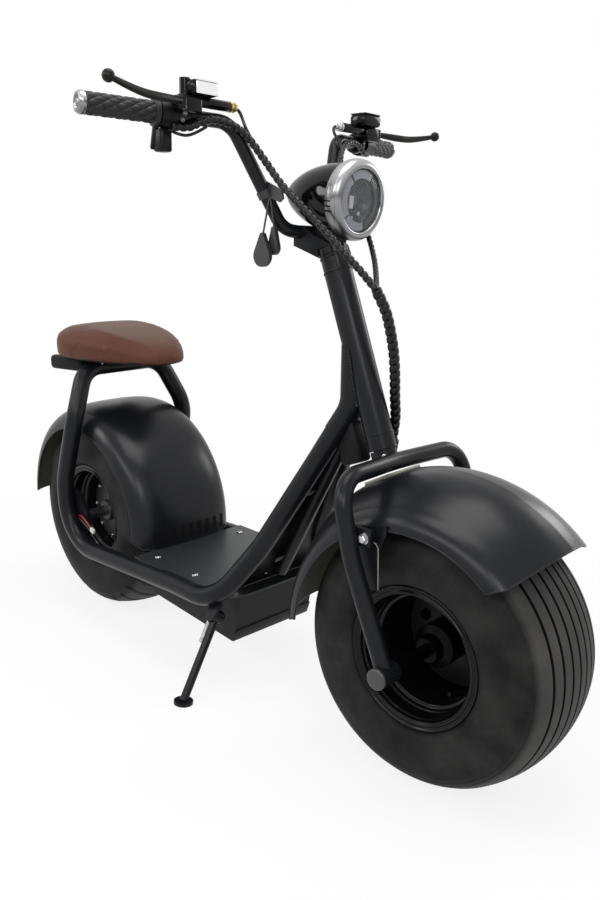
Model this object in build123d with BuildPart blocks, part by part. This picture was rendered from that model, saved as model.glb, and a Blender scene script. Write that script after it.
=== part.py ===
from build123d import *
from math import cos, radians, sin, sqrt, tan
import os

# Electric cruiser scooter: two fat tyres, a step-through frame of two bent tubes, and a seat on their arch.
# Everything is drawn upright with the steering straight: +X forward, +Y left, +Z up, and the origin on the
# floor under the rear axle. Lengths are millimetres and angles degrees. At the end each piece is turned to
# the parked pose, leaning on its side stand, and moved so that the origin is under the middle of it all.

# Wheels
wheelbase = 954.0
tyre_radius = 228.6
tyre_half_width = 114.0
tyre_crown_radius = 238.0
tyre_wall = 11.0
bead_radius = 104.0
rim_flange_radius = 117.0
rim_half_width = 101.0
rim_wall = 3.0
axle_radius = 8.0
running_gap = 0.08
spacer_radius = 13.0
hub_radius = 36.0
hub_half = 58.0
motor_radius = 84.0
motor_half = 46.0
motor_boss_half = 62.0

# Steering
head_angle = 20.7
axis_x_at_600 = wheelbase - 176.0
crown_x = wheelbase - 118.0
crown_z = 2 * tyre_radius + 48.8
head_bottom = crown_z + 14.0
head_top = head_bottom + 312.0
head_outer = 24.0
head_inner = 20.0
stem_radius = 16.0
stem_top = head_top + 14.0
bearing_height = 24.0
fork_radius = 14.0
fork_half_width = 168.0
fork_wall = 2.5
bar_radius = 11.1
bar_wall = 2.2
bar_x = wheelbase - 316.0
bar_z = head_top + 34.0

# Frame
frame_tube = 19.0
frame_wall = 2.5
rail_y = 141.0
rail_bend = 95.0
rail_front_z = tyre_radius - 38.6
deck_top = tyre_radius - 21.6
deck_thickness = 4.0
case_half_width = 98.0
case_wall = 2.5
panel_thickness = 3.0
web_half = 14.0

# Fenders
sheet = 2.5
front_fender_crown = tyre_radius + 55.4
front_fender_half = 138.0
rear_fender_crown = tyre_radius + 28.4
rear_fender_half = 126.0

# Seat
seat_bottom = 2 * tyre_radius + 142.8
seat_height = 55.0
pan_thickness = 8.0
pan_inset = 14.0
seat_gap = 0.3

# Parked pose
rest_steer = 5.2
lean_angle = 6.0
stand_pivot = Vector(wheelbase - 439, 8 - rail_y, tyre_radius - 68.6)
stand_foot_x = wheelbase - 419
stand_foot_y = -230.0
stand_folded = Vector(wheelbase - 599, -155.0, tyre_radius - 140.6)
stand_radius = 8.0

rake = radians(head_angle)
up_axis = Vector(-sin(rake), 0, cos(rake))
lean = radians(lean_angle)
lean_lift = tyre_crown_radius * (1 - cos(lean))
floor_normal = Vector(0, sin(lean), cos(lean))
rear_hub = Vector(0, 0, tyre_radius)
front_hub = Vector(wheelbase, 0, tyre_radius)
bead_half = rim_half_width - rim_wall - 0.2
bore_radius = axle_radius + running_gap


def on_axis(height):
    """Point of the steering axis at a height."""
    return Vector(axis_x_at_600 - (height - 600.0) * tan(rake), 0, height)


def offsets(origin, rows):
    """(x, z) points of rows measured from an origin."""
    return [(origin.X + x, origin.Z + z) for x, z in rows]


def wheel_plane(hub):
    """Section plane of a wheel: local x along the axle, local y up from the axle."""
    return Plane(origin=hub, x_dir=(0, 1, 0), z_dir=(1, 0, 0))


def radial_plane(hub, angle):
    """Section plane through an axle, its local y pointing out at an angle above forward."""
    a = radians(angle)
    return Plane(origin=hub, x_dir=(0, 1, 0), z_dir=(sin(a), 0, -cos(a)))


def axle_line(hub):
    return Axis(hub, (0, 1, 0))


def turn(hub, rows):
    """Solid of revolution about an axle from (axial, radius) rows."""
    with BuildSketch(wheel_plane(hub)) as section:
        with BuildLine():
            Polyline(*rows, close=True)
        make_face()
    revolve(section.sketch, axis=axle_line(hub))


def rod(start, end, radius, inner=0.0, mode=Mode.ADD):
    """Round bar or pipe between two points."""
    start, end = Vector(*start), Vector(*end)
    with BuildSketch(Plane(origin=start, z_dir=end - start)) as section:
        Circle(radius)
        if inner:
            Circle(inner, mode=Mode.SUBTRACT)
    extrude(section.sketch, amount=(end - start).length, mode=mode)


def block(low, high, mode=Mode.ADD):
    """Box between two corners."""
    low, high = Vector(*low), Vector(*high)
    size = high - low
    with Locations((low + high) * 0.5):
        Box(size.X, size.Y, size.Z, mode=mode)


def side_plate(outline, y_low, y_high, mode=Mode.ADD):
    """Plate with an (x, z) outline between two y values."""
    with BuildSketch(Plane.XZ.offset(-y_high)) as section:
        with BuildLine():
            Polyline(*outline, close=True)
        make_face()
    extrude(section.sketch, amount=y_high - y_low, mode=mode)


def bent_tube(points, bends, radius, wall=0.0, mode=Mode.ADD):
    """Tube swept along straight runs with a filleted bend at each corner."""
    with BuildLine() as route:
        FilletPolyline(*points, radius=bends)
    path = route.wires()[0]
    with BuildSketch(Plane(origin=path @ 0, z_dir=path % 0)) as section:
        Circle(radius)
        if wall:
            Circle(radius - wall, mode=Mode.SUBTRACT)
    sweep(section.sketch, path=path, mode=mode)


def cord_bends(points):
    """Bend radius at each inner point: as large as the two runs beside it allow."""
    bends = []
    for before, here, after in zip(points, points[1:], points[2:]):
        first = Vector(*here) - Vector(*before)
        second = Vector(*after) - Vector(*here)
        half_turn = radians(first.get_angle(second)) / 2
        bends.append(0.45 * min(first.length, second.length) / tan(half_turn))
    return bends


def left_of(point):
    """The same point on the scooter's left."""
    return Vector(point.X, -point.Y, point.Z)


def other_side(part):
    """The same piece mirrored to the scooter's left."""
    return part.mirror(Plane.XZ)


# Tyres: horseshoe section, its crown an arc, open towards the rim
def tyre(hub):
    crown_edge = 76.0
    crown_drop = tyre_crown_radius - sqrt(tyre_crown_radius**2 - crown_edge**2)
    half_drop = tyre_crown_radius - sqrt(tyre_crown_radius**2 - (crown_edge / 2) ** 2)
    edge_radius = tyre_radius - crown_drop
    crown_corner = (crown_edge, edge_radius)
    wide = tyre_half_width
    seat = bead_radius + 0.2
    inside = (
        (bead_half, seat),
        (bead_half - tyre_wall, seat),
        (wide - tyre_wall, 150.0),
        (wide - tyre_wall - 6, 184.0),
        (crown_edge, edge_radius - tyre_wall - 4),
        (0.0, tyre_radius - tyre_wall),
        (0.0, tyre_radius),
    )
    with BuildSketch(wheel_plane(hub)) as section:
        with BuildLine():
            ThreePointArc((0, tyre_radius), (crown_edge / 2, tyre_radius - half_drop), crown_corner)
            ThreePointArc(crown_corner, (99, edge_radius - 15), (wide - 4, edge_radius - 40))
            ThreePointArc((wide - 4, edge_radius - 40), (wide, 150.0), (bead_half + 5, rim_flange_radius + 2))
            Line((bead_half + 5, rim_flange_radius + 2), (bead_half, rim_flange_radius + 0.5))
            Line((bead_half, rim_flange_radius + 0.5), (bead_half, seat))
            Polyline(*inside)
        make_face()
        mirror(about=Plane.YZ)
    revolve(section.sketch, axis=axle_line(hub))


def rim(hub, web_y, web_inner):
    """Deep stepped barrel with a flange each side and one web to the hub."""
    half = rim_half_width
    under = bead_radius - rim_wall
    step = 12.0
    outline = (
        (-half, rim_flange_radius),
        (-half + rim_wall, rim_flange_radius),
        (-half + rim_wall, bead_radius),
        (-62.0, bead_radius),
        (-56.0, bead_radius - step),
        (56.0, bead_radius - step),
        (62.0, bead_radius),
        (half - rim_wall, bead_radius),
        (half - rim_wall, rim_flange_radius),
        (half, rim_flange_radius),
        (half, under),
        (64.0, under),
        (58.0, under - step),
        (web_y + 3.0, under - step),
        (web_y + 3.0, web_inner),
        (web_y - 3.0, web_inner),
        (web_y - 3.0, under - step),
        (-58.0, under - step),
        (-64.0, under),
        (-half, under),
    )
    turn(hub, outline)


with BuildPart() as front_tyre:
    tyre(front_hub)

with BuildPart() as rear_tyre:
    tyre(rear_hub)

with BuildPart() as front_rim:
    rim(front_hub, 30.0, hub_radius)

with BuildPart() as rear_rim:
    rim(rear_hub, 0.0, motor_radius)

with BuildPart() as front_hub_shell:
    turn(
        front_hub,
        (
            (-hub_half, bore_radius),
            (-hub_half, 20),
            (-46, 24),
            (-40, hub_radius),
            (44, hub_radius),
            (50, 24),
            (hub_half, 20),
            (hub_half, bore_radius),
        ),
    )

with BuildPart() as hub_motor:
    turn(
        rear_hub,
        (
            (-motor_boss_half, bore_radius),
            (-motor_boss_half, 22),
            (-motor_half - 6, 26),
            (-motor_half, 60),
            (-motor_half + 8, motor_radius),
            (motor_half - 8, motor_radius),
            (motor_half, 60),
            (motor_half + 6, 26),
            (motor_boss_half, 22),
            (motor_boss_half, bore_radius),
        ),
    )

# Frame tubes: each side is one tube from the seat arch, down beside the wheel, along the deck and up front
arch_z = seat_bottom - pan_thickness - frame_tube
loop_x = -18.0
loop_y = 150.0
neck_x = axis_x_at_600 - 30.0
panel_foot = Vector(wheelbase - 374, 74, tyre_radius + 73.4)
panel_head = Vector(neck_x - 59, 31, head_bottom - 31)
tube_rows = (
    # x, y, z, bend radius
    (10.0, 0.0, arch_z, None),
    (10.0, 98.0, arch_z, 56.0),
    (38.0, loop_y, arch_z - 118, 110.0),
    (loop_x, loop_y, tyre_radius + 91.4, 130.0),
    (loop_x, loop_y, tyre_radius - 60.6, 100.0),
    (wheelbase - 564, rail_y, rail_front_z, 400.0),
    (wheelbase - 434, rail_y, rail_front_z + 2, rail_bend),
    (panel_foot.X, panel_foot.Y, panel_foot.Z, 120.0),
    (panel_head.X, panel_head.Y, panel_head.Z, 260.0),
    (neck_x - 29, 22.0, head_bottom + 19, None),
)
tube_points = [(x, -y, z) for x, y, z, _ in tube_rows]
left_points = [(x, y, z) for x, y, z, _ in tube_rows]
tube_bends = [bend for *_, bend in tube_rows if bend]
below_head = on_axis(head_bottom - 60)
above_head = on_axis(head_top + 20)

with BuildPart() as head_tube:
    rod(on_axis(head_bottom), on_axis(head_top), head_outer, head_inner)
    for low in (head_bottom, head_top - bearing_height):
        rod(on_axis(low), on_axis(low + bearing_height), head_inner, stem_radius + running_gap)

with BuildPart() as right_frame_tube:
    bent_tube(tube_points, tube_bends, frame_tube, frame_wall)

# Neck: casting that carries the two tubes on, side by side, into the back of the head tube
neck_rows = (tube_rows[-1][:3], (neck_x, 13.0, head_bottom + 66), (neck_x - 6, 5.0, head_bottom + 168))
web_rows = ((-24, 70), (-40, 36), (-52, 6), (-20, 8), (20, 52), (30, 120), (6, 120))
with BuildPart() as neck_gusset:
    side_plate(offsets(Vector(neck_x, 0, head_bottom), web_rows), -web_half, web_half)
    for side in (-1, 1):
        bent_tube([(x, side * y, z) for x, y, z in neck_rows], 60.0, frame_tube + 1)
    rod(below_head, above_head, head_outer, mode=Mode.SUBTRACT)
    bent_tube(tube_points[-3:], tube_bends[-1:], frame_tube, mode=Mode.SUBTRACT)
    bent_tube(left_points[-3:], tube_bends[-1:], frame_tube, mode=Mode.SUBTRACT)

# Deck between the rails, with four screw holes
deck_rear = tyre_radius + 21.4
deck_front = wheelbase - 394
deck_outline = (
    (deck_rear, rail_y + 2),
    (deck_front - 40, rail_y + 2),
    (deck_front - 8, 112),
    (deck_front, 90),
)
screw_spots = [(x, side * 110.0) for x in (deck_rear + 38, deck_front - 142) for side in (-1, 1)]
with BuildPart() as deck_plate:
    with BuildSketch(Plane.XY.offset(deck_top - deck_thickness)):
        with BuildLine():
            Polyline((deck_rear, 0), *deck_outline, (deck_front, 0), (deck_rear, 0))
        make_face()
        mirror(about=Plane.XZ)
        with Locations(*screw_spots):
            Circle(3.2, mode=Mode.SUBTRACT)
    extrude(amount=deck_thickness)
    bent_tube(tube_points, tube_bends, frame_tube, mode=Mode.SUBTRACT)
    bent_tube(left_points, tube_bends, frame_tube, mode=Mode.SUBTRACT)

# Battery case under the deck, a thin-walled box with the battery inside
case_top = deck_top - deck_thickness
case_rear = tyre_radius + 17.4
case_front = wheelbase - 408
case_outline = (
    (case_rear, deck_top - 95),
    (case_front - 28, deck_top - 111),
    (case_front - 18, deck_top - 85),
    (case_front, case_top),
    (case_rear, case_top),
)
cavity = (
    (case_rear + 4, deck_top - 91),
    (case_front - 31, deck_top - 107),
    (case_front - 5, case_top - case_wall),
    (case_rear + 4, case_top - case_wall),
)
with BuildPart() as battery_case:
    side_plate(case_outline, -case_half_width, case_half_width)
    side_plate(cavity, -case_half_width + case_wall, case_half_width - case_wall, mode=Mode.SUBTRACT)

with BuildPart() as battery:
    block((case_rear + 16, -70, deck_top - 91.4), (case_front - 46, 70, deck_top - 19))

# Panel between the two down tubes
with BuildPart() as front_panel:
    panel_run = Vector(panel_head.X - panel_foot.X, 0, panel_head.Z - panel_foot.Z)
    panel_length = panel_run.length - 4
    panel_plane = Plane(
        origin=(panel_foot.X, 0, panel_foot.Z),
        x_dir=(0, 1, 0),
        z_dir=Vector(0, 1, 0).cross(panel_run),
    )
    panel_low = -(panel_foot.Z - deck_top - 1.1) * panel_run.length / panel_run.Z
    with BuildSketch(panel_plane):
        with BuildLine():
            Polyline(
                (0, panel_low),
                (92, panel_low),
                (panel_foot.Y, 0),
                (panel_head.Y, panel_length),
                (0, panel_length),
                (0, panel_low),
            )
        make_face()
        mirror(about=Plane.YZ)
    extrude(amount=panel_thickness / 2, both=True)
    bent_tube(tube_points[4:], tube_bends[4:], frame_tube, mode=Mode.SUBTRACT)
    bent_tube(left_points[4:], tube_bends[4:], frame_tube, mode=Mode.SUBTRACT)


# Fenders: a thin section turned part of a circle about each axle
def fender(hub, section, start, sweep_angle):
    """section: (axial, radius) points of the outer skin from the crown to the near edge."""
    inner = [(y - shift, r if shift == sheet else r - sheet) for y, r, shift in section]
    with BuildSketch(radial_plane(hub, start)) as profile:
        with BuildLine():
            Polyline(*[(y, r) for y, r, _ in section], *reversed(inner), close=True)
        make_face()
        mirror(about=Plane.YZ)
    revolve(profile.sketch, axis=axle_line(hub), revolution_arc=sweep_angle)


front_section = (
    # axial, radius, inward shift of the inner skin
    (0.0, front_fender_crown, 0.0),
    (32.0, front_fender_crown - 3.8, 0.5),
    (62.0, front_fender_crown - 13.5, 1.0),
    (88.0, front_fender_crown - 29.0, 1.5),
    (106.0, front_fender_crown - 42.0, 1.0),
    (124.0, front_fender_crown - 46.0, 1.0),
    (front_fender_half, front_fender_crown - 56.0, 2.5),
    (front_fender_half, front_fender_crown - 71.0, 2.5),
)
front_tip_angle = 46.0
with BuildPart() as front_fender:
    fender(front_hub, front_section, 180.0, 180.0 - front_tip_angle)

rear_section = (
    (0.0, rear_fender_crown, 0.0),
    (60.0, rear_fender_crown - 2.0, 0.3),
    (92.0, rear_fender_crown - 8.0, 0.6),
    (112.0, rear_fender_crown - 19.0, 1.8),
    (rear_fender_half - 3, rear_fender_crown - 34.0, 2.5),
    (rear_fender_half, rear_fender_crown - 48.0, 2.5),
)
with BuildPart() as rear_fender:
    fender(rear_hub, rear_section, 178.0, 182.75)

# Rear dropouts: plates inside the two loops that hold the rear axle
dropout_rows = ((-44, -25), (-44, 33), (-18, 63), (14, 63), (46, 21), (46, -25), (26, -47), (-10, -47))
dropout_inner = 127.0
dropout_outer = 136.0
axle_half = 129.5
with BuildPart() as rear_dropouts:
    for side in (-1, 1):
        low, high = sorted((side * dropout_outer, side * dropout_inner))
        side_plate(offsets(rear_hub, dropout_rows), low, high)
    rod((0, -140, tyre_radius), (0, 140, tyre_radius), axle_radius, mode=Mode.SUBTRACT)
    bent_tube(tube_points, tube_bends, frame_tube, mode=Mode.SUBTRACT)
    bent_tube(left_points, tube_bends, frame_tube, mode=Mode.SUBTRACT)

with BuildPart() as rear_axle:
    rod((0, -axle_half, tyre_radius), (0, axle_half, tyre_radius), axle_radius)
    for side in (-1, 1):
        spacer_start = (0, side * (motor_boss_half + 1), tyre_radius)
        rod(spacer_start, (0, side * dropout_inner, tyre_radius), spacer_radius)

# Seat: arch bracket, pan and cushion
with BuildPart() as seat_bracket:
    block((-36, -62, arch_z + 4), (64, 62, seat_bottom - pan_thickness))
    block((-112, -56, seat_bottom - 38), (-50, 56, seat_bottom - pan_thickness))
    block((-60, -40, seat_bottom - 22), (-30, 40, seat_bottom - pan_thickness))
    bent_tube(tube_points[:4], tube_bends[:2], frame_tube, mode=Mode.SUBTRACT)
    bent_tube(left_points[:4], tube_bends[:2], frame_tube, mode=Mode.SUBTRACT)


def seat_outline(inset):
    """Plan of the saddle, broad behind and narrow in front, drawn in by an inset."""
    rear, nose, broad = -135.0 + inset, 215.0 - inset, 128.0 - inset
    with BuildLine() as half:
        ThreePointArc((rear, 0), (-112 + 0.7 * inset, 99 - 0.7 * inset), (-45, broad))
        ThreePointArc((-45, broad), (56, 117 - inset), (127, 88 - inset))
        ThreePointArc((127, 88 - inset), (192 - 0.7 * inset, 52 - 0.7 * inset), (nose, 0))
        Line((nose, 0), (rear, 0))
    make_face(half.edges())
    mirror(about=Plane.XZ)


with BuildPart() as seat_pan:
    with BuildSketch(Plane.XY.offset(seat_bottom - pan_thickness)):
        seat_outline(pan_inset)
    extrude(amount=pan_thickness - seat_gap)

# The cushion's skirt hangs round the pan's edge
skirt = 7.0
seat_levels = (
    # height above the pan, inset of the outline
    (-skirt, 9.0),
    (12.0, 2.0),
    (36.0, 4.0),
    (seat_height - 6, 14.0),
    (seat_height, 30.0),
)
with BuildPart() as seat_cushion:
    for height, inset in seat_levels:
        with BuildSketch(Plane.XY.offset(seat_bottom + height)):
            seat_outline(inset)
    loft(ruled=True)
    with BuildSketch(Plane.XY.offset(seat_bottom - pan_thickness)) as pan_room:
        seat_outline(pan_inset - seat_gap)
    extrude(pan_room.sketch, amount=pan_thickness, mode=Mode.SUBTRACT)

# Fork: one tube bent into an upside-down U, with lugs for the axle and tabs for the fender
fork_rows = (
    # x, y, z, bend radius
    (wheelbase - 2, fork_half_width, tyre_radius + 3.4, None),
    (crown_x + 45, fork_half_width, crown_z - 114, 220.0),
    (crown_x + 16, fork_half_width, crown_z + 2, 50.0),
    (crown_x, 0.0, crown_z, 400.0),
)
fork_points = [(x, -y, z) for x, y, z, _ in fork_rows] + [(x, y, z) for x, y, z, _ in fork_rows[-2::-1]]
fork_bends = [bend for *_, bend in fork_rows[1:]] + [bend for *_, bend in fork_rows[-2:0:-1]]
lug_radius = 16.0
lug_inner = 150.0
lug_outer = 186.0
tab_outer = 158.0
tab_rows = ((-86, 180), (-46, 184), (-46, 210), (-90, 212))
spacer_x = wheelbase - 58
spacer_z = tyre_radius + 196.4
with BuildPart() as fork:
    bent_tube(fork_points, fork_bends, fork_radius, fork_wall)
    for side in (-1, 1):
        lug_start = (wheelbase, side * lug_inner, tyre_radius)
        rod(lug_start, (wheelbase, side * lug_outer, tyre_radius), lug_radius)
        low, high = sorted((side * lug_inner, side * tab_outer))
        side_plate(offsets(front_hub, tab_rows), low, high)
    rod((wheelbase, -182, tyre_radius), (wheelbase, 182, tyre_radius), bore_radius, mode=Mode.SUBTRACT)

tip_half = 181.5
collar_half = 96.0
fork_seat = lug_inner - 0.3
with BuildPart() as front_axle:
    rod((wheelbase, -tip_half, tyre_radius), (wheelbase, tip_half, tyre_radius), axle_radius)
    for side in (-1, 1):
        collar = Vector(wheelbase, side * collar_half, tyre_radius)
        rod(collar, (wheelbase, side * fork_seat, tyre_radius), spacer_radius)
        rod((wheelbase, side * (hub_half + 1), tyre_radius), collar, 10.5)

bracket_rows = ((-70, 113), (-41, 113), (-42, 175), (-30, 203), (-30, 217), (-116, 201), (-116, 173))
plate_low = front_fender_half + 0.3
plate_high = plate_low + 3.0
with BuildPart() as fender_brackets:
    for side in (-1, 1):
        low, high = sorted((side * plate_low, side * plate_high))
        side_plate(offsets(front_hub, bracket_rows), low, high)
        rod((spacer_x, side * plate_high, spacer_z), (spacer_x, side * fork_seat, spacer_z), 8)

lower_stem_top = head_bottom - 1.0
with BuildPart() as steering_stem:
    rod(on_axis(crown_z - 6), on_axis(lower_stem_top), 22)
    rod(on_axis(lower_stem_top - 4), on_axis(stem_top), stem_radius)
    rod(on_axis(head_top + 1), on_axis(head_top + 12), head_outer + 1)
    bent_tube(fork_points, fork_bends, fork_radius, mode=Mode.SUBTRACT)

# Handlebar: one tube from grip to grip through the clamp
bar_rows = (
    # x, y, z, bend radius
    (bar_x - 121, 366.0, bar_z + 174, None),
    (bar_x - 61, 131.0, bar_z + 168, 40.0),
    (bar_x - 16, 54.0, bar_z + 6, 38.0),
    (bar_x, 0.0, bar_z, 60.0),
)
bar_points = [(x, -y, z) for x, y, z, _ in bar_rows] + [(x, y, z) for x, y, z, _ in bar_rows[-2::-1]]
bar_bends = [bend for *_, bend in bar_rows[1:]] + [bend for *_, bend in bar_rows[-2:0:-1]]
bar_end = Vector(*bar_points[0])
bar_run = (Vector(*bar_points[1]) - bar_end).normalized()


def on_bar(distance):
    """Point of the right bar, a distance in from its end."""
    return bar_end + bar_run * distance


with BuildPart() as handlebar:
    bent_tube(bar_points, bar_bends, bar_radius, bar_wall)

clamp_half = 24.0
clamp_rows = ((-18, -20), (-18, 7), (-10, 14), (5, 13), (26, -2), (62, -16), (70, -32), (42, -40), (12, -30))
clamp_outline = offsets(Vector(bar_x, 0, bar_z), clamp_rows)
with BuildPart() as handlebar_clamp:
    side_plate(clamp_outline, -clamp_half, clamp_half)
    bent_tube(bar_points, bar_bends, bar_radius, mode=Mode.SUBTRACT)
    rod(on_axis(head_top - 60), on_axis(stem_top + 24), stem_radius, mode=Mode.SUBTRACT)
    rod(on_axis(head_top - 60), on_axis(head_top + 13), head_outer + 3, mode=Mode.SUBTRACT)

grip_radius = 16.5
grip_length = 116.0
with BuildPart() as right_grip:
    rod(on_bar(2), on_bar(grip_length), grip_radius, bar_radius)
    rod(on_bar(grip_length - 5), on_bar(grip_length), grip_radius + 4, grip_radius)

with BuildPart() as bar_ends:
    rod(on_bar(-8), on_bar(0), grip_radius)
    rod(on_bar(0), on_bar(2), grip_radius, bar_radius)
    mirror(about=Plane.XZ)

cluster_radius = 21.0
cluster_start = on_bar(grip_length + 1)
cluster_stop = on_bar(grip_length + 27)
with BuildPart() as right_switches:
    rod(cluster_start, cluster_stop, cluster_radius, bar_radius)

box_hang = on_bar(grip_length + 14)
with BuildPart() as throttle_box:
    block(box_hang + Vector(-18, -11, -55), box_hang + Vector(4, 11, -21))
    rod(cluster_start, cluster_stop, cluster_radius, mode=Mode.SUBTRACT)

perch_clamp = on_bar(grip_length + 38)
mirror_hole_depth = 12.0
mirror_hole_radius = 4.0
mirror_boss = perch_clamp + Vector(26, -12, 38)
with BuildPart() as right_perch:
    rod(on_bar(grip_length + 28.5), on_bar(grip_length + 48), 18)
    block(perch_clamp + Vector(8, -24, 2), perch_clamp + Vector(38, 14, 26))
    block(perch_clamp + Vector(12, -14, 26), perch_clamp + Vector(48, 38, 50))
    rod(perch_clamp + Vector(26, 12, 20), perch_clamp + Vector(26, 80, 20), 8)
    rod(on_bar(0), on_bar(grip_length + 70), bar_radius, mode=Mode.SUBTRACT)
    rod(on_bar(grip_length), on_bar(grip_length + 27.5), cluster_radius + 0.3, mode=Mode.SUBTRACT)
    rod(mirror_boss - Vector(0, 0, 14), mirror_boss + Vector(0, 0, mirror_hole_depth), 8)
    rod(mirror_boss, mirror_boss + Vector(0, 0, mirror_hole_depth), mirror_hole_radius, mode=Mode.SUBTRACT)

lever_rows = (
    # forward of the perch clamp, left of it, above it, bend radius
    (34.0, -24.5, 16.0, None),
    (45.0, -70.0, 13.0, 90.0),
    (50.0, -120.0, 15.0, 90.0),
    (60.0, -174.0, 26.0, None),
)
lever_points = [perch_clamp + Vector(x, y, z) for x, y, z, _ in lever_rows]
lever_bends = [bend for *_, bend in lever_rows if bend]
lever_radius = 5.5
lever_ball_radius = 9.0
with BuildPart() as right_lever:
    bent_tube(lever_points, lever_bends, lever_radius)
    with Locations(lever_points[-1]):
        Sphere(lever_ball_radius)

# Headlight: teardrop shell, bright ring, clear lens and a reflector, its axis pointing a little down
lamp_front = Vector(bar_x + 100, 0, bar_z + 53)
lamp_pitch = radians(5.0)
lamp_out = Vector(cos(lamp_pitch), 0, -sin(lamp_pitch))
lamp_axis = Axis(lamp_front, lamp_out)
lamp_radius = 58.0


def lamp_turn(rows, mode=Mode.ADD):
    """Solid of revolution about the lamp's axis from (forward, radius) rows."""
    plane = Plane(origin=lamp_front, x_dir=lamp_out, z_dir=(0, -1, 0))
    with BuildSketch(plane) as section:
        with BuildLine():
            Polyline(*rows, close=True)
        make_face()
    revolve(section.sketch, axis=lamp_axis, mode=mode)


shell_outside = ((-150, 0), (-146, 12), (-130, 27), (-105, 41), (-75, 51), (-45, 56.5), (-22, lamp_radius))
with BuildPart() as headlight_shell:
    lamp_turn((*shell_outside, (-22, lamp_radius - 3), (-75, 47), (-130, 22), (-142, 0)))

with BuildPart() as headlight_bezel:
    lamp_turn(((-21.7, 50), (-21.7, 61), (-12, 64), (0, 64), (9, 58), (11, 51), (6, 49), (2, 49)))

with BuildPart() as headlight_lens:
    lamp_turn(((2.3, 0), (2.3, 48.7), (5, 48.7), (10, 34), (13, 0)))

with BuildPart() as headlight_reflector:
    lamp_turn(((-24, 0), (-24, 20), (-2, 48.7), (-21.4, 49.7), (-34, 30), (-34, 0)))

with BuildPart() as headlight_bracket:
    side_plate(offsets(Vector(bar_x, 0, bar_z), ((18, -6), (64, -24), (70, 14), (24, 20))), -14, 14)
    lamp_turn((*shell_outside, (-22, 0)), mode=Mode.SUBTRACT)
    side_plate(clamp_outline, -clamp_half, clamp_half, mode=Mode.SUBTRACT)
    rod(on_axis(head_top), on_axis(stem_top + 1), stem_radius, mode=Mode.SUBTRACT)
    rod(on_axis(head_top), on_axis(head_top + 12.5), head_outer + 1.3, mode=Mode.SUBTRACT)

# Cable bundles: each leaves its switch cluster and follows the riser. They join below the lamp, and the
# thicker bundle goes down in front of the head tube and round its left side to a clip on the steering stem
main_radius = 6.0
trunk_radius = 8.8
side_radius = 4.5
main_route = (
    (564.0, -240.0, 1018.0),
    (575.0, -217.0, 1016.0),
    (580.0, -200.0, 1026.0),
    (584.0, -183.0, 1032.0),
    (588.0, -165.0, 1033.0),
    (593.0, -145.0, 1029.0),
    (599.0, -128.0, 1021.0),
    (605.0, -113.0, 1007.0),
    (614.0, -102.0, 989.0),
    (628.0, -94.0, 968.0),
    (644.0, -88.0, 946.0),
    (662.0, -84.0, 928.0),
    (683.0, -82.0, 912.0),
    (709.0, -79.0, 891.0),
    (733.0, -74.0, 869.0),
    (761.0, -64.0, 839.0),
    (789.0, -50.0, 809.0),
    (809.0, -38.0, 782.0),
)
trunk_route = (
    (809.0, -38.0, 782.0),
    (818.0, -24.0, 755.0),
    (818.0, -8.0, 720.0),
    (816.0, 8.0, 680.0),
    (813.0, 18.0, 639.0),
    (808.0, 27.0, 604.0),
    (806.0, 35.0, 574.0),
    (801.0, 38.0, 545.0),
    (797.0, 38.0, 518.0),
)
side_route = (
    (564.0, 240.0, 1018.0),
    (575.0, 217.0, 1016.0),
    (580.0, 200.0, 1026.0),
    (584.0, 183.0, 1032.0),
    (588.0, 165.0, 1033.0),
    (593.0, 145.0, 1029.0),
    (599.0, 128.0, 1021.0),
    (605.0, 113.0, 1007.0),
    (614.0, 102.0, 989.0),
    (628.0, 94.0, 968.0),
    (644.0, 88.0, 946.0),
    (662.0, 84.0, 923.0),
    (683.0, 76.0, 898.0),
    (709.0, 62.0, 873.0),
    (741.0, 40.0, 838.0),
    (772.0, 10.0, 806.0),
    (806.0, -33.0, 783.0),
)
with BuildPart() as main_cable:
    bent_tube(main_route, cord_bends(main_route), main_radius)
    bent_tube(trunk_route, cord_bends(trunk_route), trunk_radius)
    rod(on_bar(grip_length), on_bar(grip_length + 27.5), cluster_radius, mode=Mode.SUBTRACT)

with BuildPart() as side_cable:
    bent_tube(side_route, cord_bends(side_route), side_radius)
    bent_tube(main_route, cord_bends(main_route), main_radius + 0.3, mode=Mode.SUBTRACT)
    bent_tube(trunk_route, cord_bends(trunk_route), trunk_radius + 0.3, mode=Mode.SUBTRACT)
    rod(left_of(on_bar(grip_length)), left_of(on_bar(grip_length + 27.5)), cluster_radius, mode=Mode.SUBTRACT)

clip_wall = 3.0
with BuildPart() as cable_clip:
    clip_end = Vector(*trunk_route[-1])
    clip_run = (clip_end - Vector(*trunk_route[-2])).normalized()
    rod(clip_end - clip_run * 12, clip_end + clip_run * 3, trunk_radius + clip_wall, trunk_radius)
    rod(clip_end + clip_run * 3, clip_end + clip_run * 7, trunk_radius + clip_wall)
    rod(clip_end + clip_run * 5, on_axis(crown_z), 5)
    rod(on_axis(crown_z - 10), on_axis(lower_stem_top + 1), 22, mode=Mode.SUBTRACT)

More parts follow.
